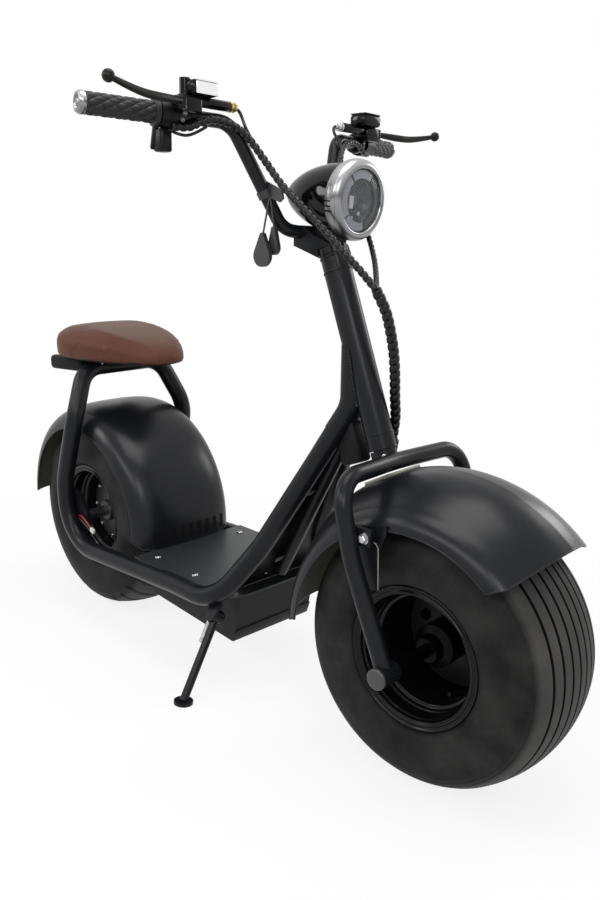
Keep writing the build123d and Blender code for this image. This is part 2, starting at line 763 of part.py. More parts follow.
# Side stand: bracket with its pin under the right rail, and the leg with its foot
down_leg = Vector(stand_foot_x, stand_foot_y, (-stand_foot_y * sin(lean) - lean_lift) / cos(lean))
stand_axis = (down_leg - stand_pivot).cross(stand_folded - stand_pivot).normalized()
pin_radius = 5.0
leg_half = 8.5
plate_near = leg_half + 0.5
plate_far = plate_near + 6.0
knuckle_radius = 13.0
foot_radius = 18.0
foot_thickness = 6.0
plate_up = (Vector(0, 0, 1) - stand_axis * stand_axis.Z).normalized()
with BuildPart() as stand_bracket:
    plate_plane = Plane(origin=stand_pivot - stand_axis * plate_far, x_dir=plate_up, z_dir=stand_axis)
    with BuildSketch(plate_plane):
        Circle(15)
        with Locations((14, 0)):
            Rectangle(28, 30)
    extrude(amount=plate_far - plate_near)
    rod(stand_pivot - stand_axis * plate_far, stand_pivot + stand_axis * plate_near, pin_radius)
    rod(stand_pivot + stand_axis * plate_near, stand_pivot + stand_axis * (plate_near + 5), 9)
    bent_tube(tube_points, tube_bends, frame_tube, mode=Mode.SUBTRACT)

with BuildPart() as stand_leg:
    rod(stand_pivot - stand_axis * leg_half, stand_pivot + stand_axis * leg_half, knuckle_radius)
    rod(stand_pivot, down_leg + floor_normal * (foot_thickness - 0.5), stand_radius)
    rod(down_leg, down_leg + floor_normal * foot_thickness, foot_radius)
    rod(
        stand_pivot - stand_axis * 10,
        stand_pivot + stand_axis * 10,
        pin_radius + running_gap,
        mode=Mode.SUBTRACT,
    )

# Key on its strap: a band round the right riser, with two plain fobs on a fine chain
riser = (Vector(*bar_points[2]) - Vector(*bar_points[1])).normalized()
strap_drop = 106.0
strap_middle = Vector(*bar_points[1]) + riser * (strap_drop / -riser.Z)
flap_rows = ((2, 20), (38, 5), (42, -8), (34, -14), (4, -4))
fob_rows = (
    # place of the round end from the strap, its radius, height of the point above it
    (Vector(7, -11, -99), 18.0, 37.0),
    (Vector(22, 0, -86), 11.5, 34.0),
)
fob_half = 4.0
strap_half = 6.0
strap_thickness = 2.0
chain_radius = 1.6
with BuildPart() as key_fobs:
    strap_run = riser * strap_half
    rod(strap_middle - strap_run, strap_middle + strap_run, bar_radius + strap_thickness, bar_radius)
    side_plate(offsets(strap_middle, flap_rows), strap_middle.Y - 2, strap_middle.Y + 2)
    for place, fob_radius, point in fob_rows:
        round_end = strap_middle + place
        with BuildSketch(Plane(origin=round_end, x_dir=(1, 0, 0), z_dir=(0, -1, 0))) as outline:
            Circle(fob_radius)
            with Locations((0, point - 4)):
                Circle(4)
            make_hull()
        extrude(outline.sketch, amount=fob_half, both=True)
        rod(strap_middle + Vector(12, -1, -2), round_end + Vector(0, 0, point - 3), chain_radius)
    bent_tube(bar_points, bar_bends, bar_radius, mode=Mode.SUBTRACT)


# Parked pose
steering_axis = Axis(on_axis(600), up_axis)
frame_pieces = {
    "right_frame_tube": right_frame_tube.part,
    "left_frame_tube": other_side(right_frame_tube.part),
    "head_tube": head_tube.part,
    "neck_gusset": neck_gusset.part,
    "deck_plate": deck_plate.part,
    "battery_case": battery_case.part,
    "battery": battery.part,
    "front_panel": front_panel.part,
    "rear_fender": rear_fender.part,
    "rear_dropouts": rear_dropouts.part,
    "rear_axle": rear_axle.part,
    "seat_bracket": seat_bracket.part,
    "seat_pan": seat_pan.part,
    "seat_cushion": seat_cushion.part,
    "stand_bracket": stand_bracket.part,
    "stand_leg": stand_leg.part,
    "rear_tyre": rear_tyre.part,
    "rear_rim": rear_rim.part,
    "hub_motor": hub_motor.part,
}
steered_pieces = {
    "steering_stem": steering_stem.part,
    "fork": fork.part,
    "front_axle": front_axle.part,
    "front_fender": front_fender.part,
    "fender_brackets": fender_brackets.part,
    "handlebar": handlebar.part,
    "handlebar_clamp": handlebar_clamp.part,
    "right_grip": right_grip.part,
    "left_grip": other_side(right_grip.part),
    "bar_ends": bar_ends.part,
    "right_switches": right_switches.part,
    "left_switches": other_side(right_switches.part),
    "throttle_box": throttle_box.part,
    "right_perch": right_perch.part,
    "left_perch": other_side(right_perch.part),
    "right_lever": right_lever.part,
    "left_lever": other_side(right_lever.part),
    "key_fobs": key_fobs.part,
    "headlight_shell": headlight_shell.part,
    "headlight_bezel": headlight_bezel.part,
    "headlight_lens": headlight_lens.part,
    "headlight_reflector": headlight_reflector.part,
    "headlight_bracket": headlight_bracket.part,
    "main_cable": main_cable.part,
    "side_cable": side_cable.part,
    "cable_clip": cable_clip.part,
    "front_tyre": front_tyre.part,
    "front_rim": front_rim.part,
    "front_hub": front_hub_shell.part,
}
parked = {name: part.rotate(Axis.X, lean_angle) for name, part in frame_pieces.items()}
for name, part in steered_pieces.items():
    parked[name] = part.rotate(steering_axis, rest_steer).rotate(Axis.X, lean_angle)

boxes = [part.bounding_box() for part in parked.values()]
shift = Vector(
    -(min(b.min.X for b in boxes) + max(b.max.X for b in boxes)) / 2,
    -(min(b.min.Y for b in boxes) + max(b.max.Y for b in boxes)) / 2,
    lean_lift,
)
os.makedirs("parts", exist_ok=True)
for name, part in parked.items():
    placed = part.translate(shift)
    placed.label = name
    export_step(placed, f"parts/{name}.step")

print("shift", round(shift.X, 3), round(shift.Y, 3), round(shift.Z, 3))
print("lowest", round(min(b.min.Z for b in boxes) + shift.Z, 3))
print("stand axis", stand_axis, "foot", down_leg)
for route in (main_route, trunk_route, side_route):
    print("cable bends", [round(r) for r in cord_bends(route)])
print("mirror boss", mirror_boss)
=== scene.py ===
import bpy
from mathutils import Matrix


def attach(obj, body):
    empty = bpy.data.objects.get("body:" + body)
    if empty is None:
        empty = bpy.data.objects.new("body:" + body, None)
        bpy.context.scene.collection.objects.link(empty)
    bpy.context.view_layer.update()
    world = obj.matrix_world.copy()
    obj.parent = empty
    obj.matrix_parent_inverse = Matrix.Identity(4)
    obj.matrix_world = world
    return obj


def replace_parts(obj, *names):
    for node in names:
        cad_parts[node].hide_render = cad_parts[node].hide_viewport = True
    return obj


bl_info = {
    "name": "Electric cruiser scooter",
    "version": (1, 0, 0),
    "blender": (4, 5, 0),
    "location": "View3D > Sidebar > Scooter",
    "description": "Dresses the packed scooter with treads, padded seat, grips, cables and finishes",
    "category": "Object",
}

from math import cos, floor, pi, radians, sin, sqrt

import bmesh
import bpy
from bpy.props import FloatProperty, FloatVectorProperty, IntProperty, PointerProperty
from mathutils import Matrix, Vector

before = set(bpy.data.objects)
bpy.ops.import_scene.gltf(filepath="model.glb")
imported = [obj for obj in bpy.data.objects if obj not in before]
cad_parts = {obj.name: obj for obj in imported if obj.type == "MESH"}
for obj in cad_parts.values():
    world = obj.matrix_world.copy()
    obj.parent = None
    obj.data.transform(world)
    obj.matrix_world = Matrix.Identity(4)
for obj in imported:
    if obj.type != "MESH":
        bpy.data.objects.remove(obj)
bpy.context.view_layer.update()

# Lengths are millimetres in the scooter's own upright frame: +X forward, +Y left, +Z up, origin on the floor
# under the rear axle, steering straight. Each piece is turned to the parked pose as it is made.
MM = 0.001
WHEELBASE = 954.0
TYRE_RADIUS = 228.6
REST_STEER = radians(5.2)
LEAN = radians(6.0)
RAKE = radians(20.7)
STEER_POINT = Vector((778.0, 0.0, 600.0))
UP_AXIS = Vector((-sin(RAKE), 0.0, cos(RAKE)))
SHIFT = Vector((-462.831, 110.038, 1.304))
FRONT_HUB = Vector((WHEELBASE, 0.0, TYRE_RADIUS))
REAR_HUB = Vector((0.0, 0.0, TYRE_RADIUS))

TO_STEER_POINT = Matrix.Translation(STEER_POINT)
STEERED = TO_STEER_POINT @ Matrix.Rotation(REST_STEER, 4, UP_AXIS) @ Matrix.Translation(-STEER_POINT)
PARKED = Matrix.Scale(MM, 4) @ Matrix.Translation(SHIFT) @ Matrix.Rotation(LEAN, 4, "X")
PLACES = {
    "frame": PARKED,
    "rear_wheel": PARKED,
    "side_stand": PARKED,
    "steering": PARKED @ STEERED,
    "front_wheel": PARKED @ STEERED,
}


class ScooterSizes(bpy.types.PropertyGroup):
    """Sizes of the scooter's dressing, in millimetres."""

    rib_grooves: IntProperty(name="Rib grooves", description="Grooves round the front tyre", default=7, min=1)
    groove_depth: FloatProperty(name="Groove depth", description="Depth of the tread", default=4.0, min=0.0)
    groove_width: FloatProperty(name="Groove width", description="Width of a groove", default=5.0, min=0.5)
    grip_quilts: IntProperty(name="Grip quilts", description="Diamonds round a grip", default=8, min=3)
    wrap_pitch: FloatProperty(name="Wrap pitch", description="Pitch of the spiral", default=11.0, min=2.0)
    seat_rise: FloatProperty(name="Seat rise", description="Most the padding may swell", default=4.0, min=0.0)


class ScooterColours(bpy.types.PropertyGroup):
    """Colours that a user would change."""

    paint: FloatVectorProperty(
        name="Paint", description="Frame, fork and fenders", subtype="COLOR", default=(0.0065, 0.007, 0.0085)
    )
    seat: FloatVectorProperty(
        name="Seat", description="Leatherette of the saddle", subtype="COLOR", default=(0.086, 0.031, 0.019)
    )
    tyre: FloatVectorProperty(
        name="Tyre", description="Rubber of the tyres", subtype="COLOR", default=(0.0185, 0.018, 0.0175)
    )


# Shader trees
class Wire:
    """An output of a shader tree. Arithmetic on it adds Math nodes."""

    def __init__(self, tree, socket):
        self.tree = tree
        self.socket = socket

    def math(self, operation, *values):
        return self.tree.node("Math", {"operation": operation}, dict(enumerate(values)))

    def __add__(self, other):
        return self.math("ADD", self, other)

    __radd__ = __add__

    def __mul__(self, other):
        return self.math("MULTIPLY", self, other)

    __rmul__ = __mul__

    def __sub__(self, other):
        return self.math("SUBTRACT", self, other)

    def __rsub__(self, other):
        return self.math("SUBTRACT", other, self)

    def __truediv__(self, other):
        return self.math("DIVIDE", self, other)

    def __pow__(self, other):
        return self.math("POWER", self, other)

    def clamp(self, low=0.0, high=1.0):
        return self.math("MINIMUM", self.math("MAXIMUM", self, low), high)


class Tree:
    """Node tree of a material or world."""

    def __init__(self, owner):
        owner.use_nodes = True
        self.nodes = owner.node_tree.nodes
        self.links = owner.node_tree.links
        self.nodes.clear()

    def node(self, kind, settings=None, sockets=None, output=0):
        """Add a node: its type, its settings, then values or links by socket name or number."""
        made = self.nodes.new("ShaderNode" + kind)
        for key, value in (settings or {}).items():
            if key == "stops":
                ramp = made.color_ramp.elements
                while len(ramp) < len(value):
                    ramp.new(0.5)
                for element, (place, colour) in zip(ramp, value):
                    element.position = place
                    element.color = colour
            else:
                setattr(made, key, value)
        for key, value in (sockets or {}).items():
            self.feed(made.inputs[key], value)
        return Wire(self, made.outputs[output]) if len(made.outputs) else made

    def feed(self, socket, value):
        if isinstance(value, Wire):
            self.links.new(value.socket, socket)
        else:
            socket.default_value = value

    def mix(self, factor, first, second):
        return self.node("Mix", {"data_type": "RGBA"}, {0: factor, 6: first, 7: second}, 2)

    def place(self):
        return self.node("TexCoord", output=3)

    def noise(self, scale, detail=3.0, roughness=0.5):
        sockets = {"Vector": self.place(), "Scale": scale, "Detail": detail, "Roughness": roughness}
        return self.node("TexNoise", None, sockets)

    def bump(self, height, distance, strength):
        return self.node("Bump", None, {"Strength": strength, "Distance": distance, "Height": height})

    def upness(self, direction_output):
        """How far an output of the texture coordinates points up: -1 to 1."""
        return self.node("SeparateXYZ", None, {0: self.node("TexCoord", output=direction_output)}, 2)

    def seen(self):
        """1 for rays that show a surface: from the camera, off a mirror or through glass."""
        path = self.node("LightPath").socket.node.outputs
        rays = [Wire(self, path[f"Is {kind} Ray"]) for kind in ("Camera", "Glossy", "Transmission")]
        return (rays[0] + rays[1] + rays[2]).clamp()


def rgba(colour):
    return (*colour[:3], 1.0)


def finish(name, colour, roughness, dress, extra):
    """Principled material: plain socket values, and dress(tree) for what varies over the surface."""
    made = bpy.data.materials.new(name)
    tree = Tree(made)
    sockets = {"Base Color": rgba(colour), "Roughness": roughness}
    sockets.update(extra)
    if dress:
        sockets.update(dress(tree))
    shader = tree.node("BsdfPrincipled", None, sockets)
    tree.node("OutputMaterial", None, {"Surface": shader})
    made.diffuse_color = rgba(colour)
    return made


def hub_radius_wire(tree, hub, steered):
    """Distance from a wheel's axle over the surface, in millimetres."""
    place = PLACES["front_wheel" if steered else "rear_wheel"]
    centre = place @ hub
    axle = (place.to_3x3() @ Vector((0, 1, 0))).normalized()
    offset = tree.node("VectorMath", {"operation": "SUBTRACT"}, {0: tree.place(), 1: centre})
    along = tree.node("VectorMath", {"operation": "DOT_PRODUCT"}, {0: offset, 1: axle}, 1)
    far = tree.node("VectorMath", {"operation": "LENGTH"}, {0: offset}, 1)
    return (far * far - along * along) ** 0.5 / MM


def painted_reflection_tones(*bands):
    """Painted reflection: grey tones by where a mirror looks, each band is (0 for straight down to 1 for
    straight up, tone).
    """
    stops = [(place, (tone, tone, tone * 1.02, 1.0)) for place, tone in bands]

    def dress(tree):
        return {"Base Color": tree.node("ValToRGB", {"stops": stops}, {0: tree.upness(6) * 0.5 + 0.5})}

    return dress


# Radius where a tyre's worn crown starts, and the width over which it does
WORN_FROM, WORN_OVER = 204.0, 7.0


def dusty(colour, hub, steered):
    """Rubber: worn grey crown, cloudy brown-grey sidewall."""

    def dress(tree):
        cloud = tree.noise(11.0, 6.0, 0.62)
        speck = tree.noise(140.0, 3.0)
        reach = hub_radius_wire(tree, hub, steered)
        crown = ((reach - WORN_FROM) / WORN_OVER).clamp()
        patch = ((cloud - 0.4) * 3.2).clamp()
        side = tree.mix(patch, rgba([c * 0.35 for c in colour]), rgba([c * 1.5 for c in colour]))
        worn = tree.mix(patch, rgba([c * 2.6 for c in colour]), rgba([c * 4.0 for c in colour]))
        pits = speck * 0.4 + cloud * 0.6
        return {
            "Base Color": tree.mix(crown, side, worn),
            "Roughness": 0.5 + cloud * 0.2,
            "Normal": tree.bump(pits, 0.0009, 0.5),
        }

    return dress


def leatherette(colour):
    """Grained cover, its upward faces a lighter tan than its sides."""

    def dress(tree):
        grain = {"Vector": tree.place(), "Scale": 420.0}
        cells = tree.node("TexVoronoi", {"feature": "DISTANCE_TO_EDGE"}, grain)
        creases = tree.noise(26.0, 5.0)
        tone = tree.noise(7.0, 3.0)
        top = ((tree.upness(1) - 0.9) / 0.07).clamp()
        side = tree.mix(tone, rgba([c * 0.8 for c in colour]), rgba([c * 1.15 for c in colour]))
        tan = rgba((colour[0] * 1.1, colour[1] * 1.6, colour[2] * 1.7))
        height = cells.math("MINIMUM", cells, 0.2) * 3.0 + creases * 0.8
        return {
            "Base Color": tree.mix(top, side, tan),
            "Roughness": 0.42 + creases * 0.12,
            "Normal": tree.bump(height, 0.0004, 0.4),
        }

    return dress


def grained(scale, depth):
    """Fine bumps only."""

    def dress(tree):
        return {"Normal": tree.bump(tree.noise(scale), depth, 0.4)}

    return dress


def sprayed(low, spread):
    """Paint whose gloss wanders a little, with a fine orange peel."""

    def dress(tree):
        wear = tree.noise(9.0, 2.0)
        grain = tree.noise(900.0, 2.0)
        return {"Roughness": low + wear * spread, "Normal": tree.bump(grain, 0.00006, 0.35)}

    return dress


def spotted(first, second, scale):
    """Two tones in soft patches."""

    def dress(tree):
        return {"Base Color": tree.mix(tree.noise(scale, 4.0), rgba(first), rgba(second))}

    return dress


def dull(level):
    """Plain values of a surface that mirrors less than the usual 0.5."""
    return {"Specular IOR Level": level}


def make_finishes(colours):
    """Every material of the scooter, by name: colour, roughness, what varies, and plain socket values."""
    black = (0.006, 0.006, 0.007)
    metal = {"Metallic": 1.0}
    # Painted reflections of the floor and the lamps, put in the chrome's base colour
    painted_floor_reflection = ((0.0, 0.34), (0.3, 0.46), (0.44, 0.3), (0.49, 0.05))
    painted_lamp_reflection = ((0.55, 0.08), (0.6, 0.5), (0.8, 0.62), (1.0, 0.3))
    mirrored = painted_reflection_tones(*painted_floor_reflection, *painted_lamp_reflection)
    # Painted reflection in the base colour of the soft silver on the bezel and bar ends
    painted_silver_reflection = painted_reflection_tones((0.0, 0.2), (0.42, 0.3), (0.5, 0.14), (0.62, 0.27), (0.85, 0.4), (1.0, 0.44))
    cast = grained(260.0, 0.0004)
    zinc = spotted((0.36, 0.36, 0.38), (0.56, 0.55, 0.54), 45.0)
    underside = spotted((0.05, 0.053, 0.042), (0.09, 0.091, 0.072), 14.0)
    front_rubber = dusty(colours.tyre, FRONT_HUB, True)
    rear_rubber = dusty(colours.tyre, REAR_HUB, False)
    rows = (
        ("satin_paint", colours.paint, 0.3, sprayed(0.27, 0.08), dull(0.18)),
        ("fender_paint", colours.paint, 0.3, sprayed(0.26, 0.06), dull(0.22)),
        ("fender_underside", (0.05, 0.05, 0.04), 0.75, underside, dull(0.2)),
        # Pale strip on the front fender, and the painted highlight on the bracket edges
        ("fender_strip", (0.26, 0.25, 0.22), 0.5, None, dull(0.2)),
        ("rim_paint", (0.003, 0.003, 0.0035), 0.2, None, dull(0.18)),
        ("front_tyre_rubber", colours.tyre, 0.6, front_rubber, dull(0.12)),
        ("rear_tyre_rubber", colours.tyre, 0.6, rear_rubber, dull(0.12)),
        ("hub_black", (0.0015, 0.0015, 0.002), 0.3, None, dull(0.07)),
        # Painted shade: near black for groove floors and slots, where shade falls
        ("groove_black", (0.004, 0.004, 0.004), 0.8, None, dull(0.1)),
        # chrome and soft_silver carry painted reflections in their base colour
        ("chrome", (0.5, 0.5, 0.52), 0.09, mirrored, metal),
        ("bright_chrome", (0.86, 0.86, 0.87), 0.07, None, metal),
        ("bright_zinc", (0.45, 0.45, 0.46), 0.32, zinc, metal),
        ("dark_alloy", (0.05, 0.05, 0.053), 0.42, cast, {"Metallic": 0.6}),
        ("leatherette", colours.seat, 0.45, leatherette(colours.seat), dull(0.14)),
        ("pan_plastic", black, 0.55, cast, dull(0.12)),
        ("deck_paint", (0.012, 0.0135, 0.0145), 0.42, cast, {}),
        ("case_paint", (0.009, 0.009, 0.0095), 0.42, sprayed(0.38, 0.1), dull(0.14)),
        ("pack_wrap", (0.03, 0.05, 0.09), 0.5, None, {}),
        ("grip_rubber", (0.021, 0.019, 0.021), 0.46, grained(600.0, 0.0002), dull(0.26)),
        ("switch_plastic", (0.006, 0.006, 0.0065), 0.34, cast, dull(0.16)),
        ("button_grey", (0.035, 0.035, 0.036), 0.3, None, {}),
        ("lever_black", (0.006, 0.006, 0.005), 0.36, cast, dull(0.16)),
        ("gloss_black", (0.002, 0.002, 0.0025), 0.1, None, dull(0.18)),
        ("lens_glass", (0.5, 0.52, 0.54), 0.04, None, {"Alpha": 0.1}),
        ("reflector", (0.08, 0.085, 0.09), 0.3, None, metal),
        ("lamp_dark", (0.006, 0.006, 0.007), 0.25, None, dull(0.2)),
        ("light_ring", (0.25, 0.26, 0.29), 0.35, None, dull(0.3)),
        # Dark grey of the projector, and painted shade on the light ring's far arc
        ("ring_grey", (0.024, 0.025, 0.025), 0.3, None, dull(0.3)),
        # Cream for the painted reflection and glints in the headlight
        ("cream", (0.6, 0.59, 0.54), 0.4, None, dull(0.3)),
        ("soft_silver", (0.36, 0.36, 0.345), 0.3, painted_silver_reflection, metal),
        ("cable_wrap", (0.004, 0.004, 0.0045), 0.3, None, dull(0.28)),
        ("strap_leather", (0.016, 0.015, 0.016), 0.5, None, {}),
        ("brass", (0.42, 0.3, 0.13), 0.25, None, metal),
        ("red_wire", (0.25, 0.012, 0.012), 0.4, None, {}),
        ("white_plastic", (0.62, 0.62, 0.58), 0.45, None, {}),
        ("red_button", (0.35, 0.015, 0.012), 0.35, None, {}),
    )
    return {name: finish(name, colour, rough, dress, extra) for name, colour, rough, dress, extra in rows}


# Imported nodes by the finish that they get
NODE_FINISHES = {
    "satin_paint": (
        "right_frame_tube", "left_frame_tube", "head_tube", "neck_gusset", "rear_dropouts",
        "stand_bracket", "stand_leg", "steering_stem", "fork", "fender_brackets", "handlebar",
        "handlebar_clamp", "headlight_bracket",
    ),
    "deck_paint": ("deck_plate",),
    "case_paint": ("battery_case", "front_panel"),
    "pack_wrap": ("battery",),
    "fender_paint": ("rear_fender", "front_fender"),
    "bright_zinc": ("rear_axle",),
    "pan_plastic": ("seat_bracket", "seat_pan"),
    "leatherette": ("seat_cushion",),
    "rear_tyre_rubber": ("rear_tyre",),
    "rim_paint": ("rear_rim", "front_rim"),
    "dark_alloy": ("hub_motor",),
    "hub_black": ("front_axle", "front_hub"),
    "grip_rubber": ("right_grip", "left_grip"),
    "chrome": ("bar_ends",),
    "switch_plastic": ("right_switches", "left_switches", "throttle_box", "cable_clip"),
    "gloss_black": ("right_perch", "left_perch", "headlight_shell"),
    "lever_black": ("right_lever", "left_lever"),
    "strap_leather": ("key_fobs",),
    "soft_silver": ("headlight_bezel",),
    "lens_glass": ("headlight_lens",),
    "reflector": ("headlight_reflector",),
    "cable_wrap": ("main_cable", "side_cable"),
    "front_tyre_rubber": ("front_tyre",),
}
finishes = {}


# Shapes
# Radius in place of zero where a turned solid closes at its axis
CORE = 0.01


def piece(name, points, faces, body, slot, finish_names, face_finishes=None, sharp=40.0):
    """Mesh object from points in millimetres, riding on a body, smooth but for edges past an angle."""
    mesh = bpy.data.meshes.new(name)
    mesh.from_pydata([PLACES[body] @ Vector(p) for p in points], [], faces)
    for finish_name in finish_names:
        mesh.materials.append(finishes[finish_name])
    if face_finishes:
        mesh.polygons.foreach_set("material_index", face_finishes)
    work = bmesh.new()
    work.from_mesh(mesh)
    bmesh.ops.recalc_face_normals(work, faces=work.faces)
    for edge in work.edges:
        edge.smooth = edge.calc_face_angle(0.0) < radians(sharp)
    for face in work.faces:
        face.smooth = True
    work.to_mesh(mesh)
    work.free()
    made = bpy.data.objects.new(name, mesh)
    bpy.context.collection.objects.link(made)
    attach(made, body)
    return made


def grid_faces(rows, columns, wrap_rows=False, wrap_columns=False):
    """Quads of a grid of points stored row by row."""
    faces = []
    for i in range(rows if wrap_rows else rows - 1):
        for j in range(columns if wrap_columns else columns - 1):
            a, b = i * columns + j, i * columns + (j + 1) % columns
            c = ((i + 1) % rows) * columns
            faces.append((a, b, c + (j + 1) % columns, c + j))
    return faces


def open_grid(rows, columns):
    """Quads round a stack of closed outlines."""
    return grid_faces(rows, columns, wrap_columns=True)


def capped_grid(rows, columns):
    """Quads round a stack of closed outlines, and a face at each end."""
    last = (rows - 1) * columns
    return open_grid(rows, columns) + [tuple(range(columns))[::-1], tuple(range(last, last + columns))]


def join(parts):
    """One list of points and faces from several."""
    points, faces = [], []
    for more_points, more_faces in parts:
        base = len(points)
        points += [Vector(p) for p in more_points]
        faces += [tuple(base + i for i in face) for face in more_faces]
    return points, faces


def axes_of(direction):
    """Two unit vectors square to a direction."""
    direction = Vector(direction).normalized()
    side = direction.cross(Vector((0, 0, 1)) if abs(direction.z) < 0.9 else Vector((1, 0, 0))).normalized()
    return side, side.cross(direction)


def rounded(rows, radius, steps=3, closed=True):
    """Outline with each corner eased by a short curve."""
    out = []
    count = len(rows)
    for i, here in enumerate(rows):
        if not closed and i in (0, count - 1):
            out.append(tuple(here))
            continue
        here = Vector(here)
        before, after = Vector(rows[i - 1]), Vector(rows[(i + 1) % count])
        back, ahead = before - here, after - here
        size = min(radius, back.length * 0.45, ahead.length * 0.45)
        start, end = here + back.normalized() * size, here + ahead.normalized() * size
        for step in range(steps + 1):
            t = step / steps
            point = start * (1 - t) ** 2 + here * 2 * t * (1 - t) + end * t**2
            out.append(tuple(point))
    return out


def lathe(rows, centre, direction, segments=64, closed=True):
    """Points and faces of (axial, radius) rows turned about an axis."""
    direction = Vector(direction).normalized()
    side, up = axes_of(direction)
    points = []
    for i in range(segments):
        a = 2 * pi * i / segments
        out = side * cos(a) + up * sin(a)
        points += [Vector(centre) + direction * along + out * reach for along, reach in rows]
    return points, grid_faces(segments, len(rows), wrap_rows=True, wrap_columns=closed)


def stepped(*parts):
    """Rows of a turned solid from (start, end, radius) parts along its axis."""
    sides = [(along, reach) for start, end, reach in parts for along in (start, end)]
    return [(parts[0][0], CORE), *sides, (parts[-1][1], CORE)]


def closed_turn(rows, spot, normal, ease=0.6, segments=32):
    """Solid of revolution with eased corners."""
    return lathe(rounded(rows, ease, 2, closed=False), spot, normal, segments, closed=False)


def smooth_rows(rows, steps=6):
    """Curve through rows of any size (Catmull-Rom)."""
    rows = [Vector(r) for r in rows]
    out = []
    for i in range(len(rows) - 1):
        p0, p1, p2, p3 = rows[max(i - 1, 0)], rows[i], rows[i + 1], rows[min(i + 2, len(rows) - 1)]
        slope, bend, twist = p2 - p0, 2 * p0 - 5 * p1 + 4 * p2 - p3, 3 * p1 - p0 - 3 * p2 + p3
        for step in range(steps):
            t = step / steps
            out.append(0.5 * (2 * p1 + slope * t + bend * t * t + twist * t**3))
    return out + [rows[-1]]


def run_at(path, i):
    """Unit vector along a path at one of its points."""
    return (path[min(i + 1, len(path) - 1)] - path[max(i - 1, 0)]).normalized()


def carried_rings(path):
    """Side and up vectors carried along a path without twist."""
    out = []
    side = None
    for i, here in enumerate(path):
        ahead = run_at(path, i)
        if side is None:
            side, up = axes_of(ahead)
        side = (side - ahead * side.dot(ahead)).normalized()
        out.append((here, side, ahead.cross(side)))
    return out


def tube(path, reach, around=12, cover=capped_grid):
    """Tube along a path. reach is a radius or a function of (place along 0..1, length so far, angle)."""
    rings = carried_rings([Vector(p) for p in path])
    points, run, previous = [], 0.0, rings[0][0]
    for i, (here, side, up) in enumerate(rings):
        run += (here - previous).length
        previous = here
        for j in range(around):
            a = 2 * pi * j / around
            r = reach(i / (len(rings) - 1), run, a) if callable(reach) else reach
            points.append(here + (side * cos(a) + up * sin(a)) * r)
    return points, cover(len(rings), around)


def box_of(centre, size, forward=(1, 0, 0), left=(0, 1, 0), ease=1.0):
    """Box with eased edges, as stacked outlines."""
    forward, left = Vector(forward).normalized(), Vector(left).normalized()
    up = forward.cross(left)
    half_x, half_y, half_z = (s / 2 for s in size)
    chamfer = ease * 0.3
    levels = [(-half_z, ease), (-half_z + chamfer, chamfer), (-half_z + ease, 0)]
    levels += [(half_z - ease, 0), (half_z - chamfer, chamfer), (half_z, ease)]
    points = []
    for z, inset in levels:
        x, y = half_x - inset, half_y - inset
        outline = rounded([(-x, -y), (x, -y), (x, y), (-x, y)], ease * 1.6, 3)
        points += [Vector(centre) + forward * x + left * y + up * z for x, y in outline]
    return points, capped_grid(len(levels), len(points) // len(levels))


def dome_bolt(spot, normal, radius, height, sides=24):
    """Round-head bolt with a socket."""
    rows = [(0, radius), (height * 0.45, radius), (height * 0.85, radius * 0.8), (height, radius * 0.55)]
    rows += [(height, radius * 0.42), (height * 0.4, radius * 0.38), (height * 0.4, CORE)]
    return lathe(rows, spot, normal, sides, closed=False)


def hex_bolt(spot, normal, radius, height):
    """Hexagon head on a washer."""
    washer = lathe(stepped((0, radius * 0.22, radius * 1.35)), spot, normal, 28, closed=False)
    top = Vector(spot) + Vector(normal).normalized() * radius * 0.22
    rows = [(0, radius), (height * 0.8, radius), (height, radius * 0.82), (height, CORE)]
    return join((washer, lathe(rows, top, normal, 6, closed=False)))


def weld_bead(path, radius, ripple=0.22, pitch=4.2):
    """Rippled bead of weld along a path."""
    return tube(path, lambda t, run, a: radius * (1 + ripple * cos(2 * pi * run / pitch)), 8)


def nurbs_path(points, count=None):
    """Points read from a smooth NURBS line through a route."""
    curve = bpy.data.curves.new("route", "CURVE")
    curve.dimensions = "3D"
    curve.resolution_u = 16
    spline = curve.splines.new("NURBS")
    spline.points.add(len(points) - 1)
    for spot, place in zip(spline.points, points):
        spot.co = (*place, 1.0)
    spline.order_u = 3
    spline.use_endpoint_u = True
    holder = bpy.data.objects.new("route", curve)
    bpy.context.collection.objects.link(holder)
    bpy.context.view_layer.update()
    drawn = bpy.data.meshes.new_from_object(holder.evaluated_get(bpy.context.evaluated_depsgraph_get()))
    path = [v.co.copy() for v in drawn.vertices]
    bpy.data.objects.remove(holder)
    bpy.data.curves.remove(curve)
    bpy.data.meshes.remove(drawn)
    return even_path(path, count) if count else path


def even_path(path, count):
    """The same line with evenly spaced points."""
    lengths = [0.0]
    for a, b in zip(path, path[1:]):
        lengths.append(lengths[-1] + (b - a).length)
    out, k = [], 0
    for i in range(count):
        want = lengths[-1] * i / (count - 1)
        while k < len(path) - 2 and lengths[k + 1] < want:
            k += 1
        span = lengths[k + 1] - lengths[k] or 1.0
        out.append(path[k].lerp(path[k + 1], (want - lengths[k]) / span))
    return out


def path_length(path):
    return sum((b - a).length for a, b in zip(path, path[1:]))


def flipped(parts):
    """The shapes mirrored across the scooter."""
    points, faces = parts
    return [Vector((p[0], -p[1], p[2])) for p in points], [face[::-1] for face in faces]


def both_sides(parts):
    """The shapes and their mirror images."""
    return join((parts, flipped(parts)))


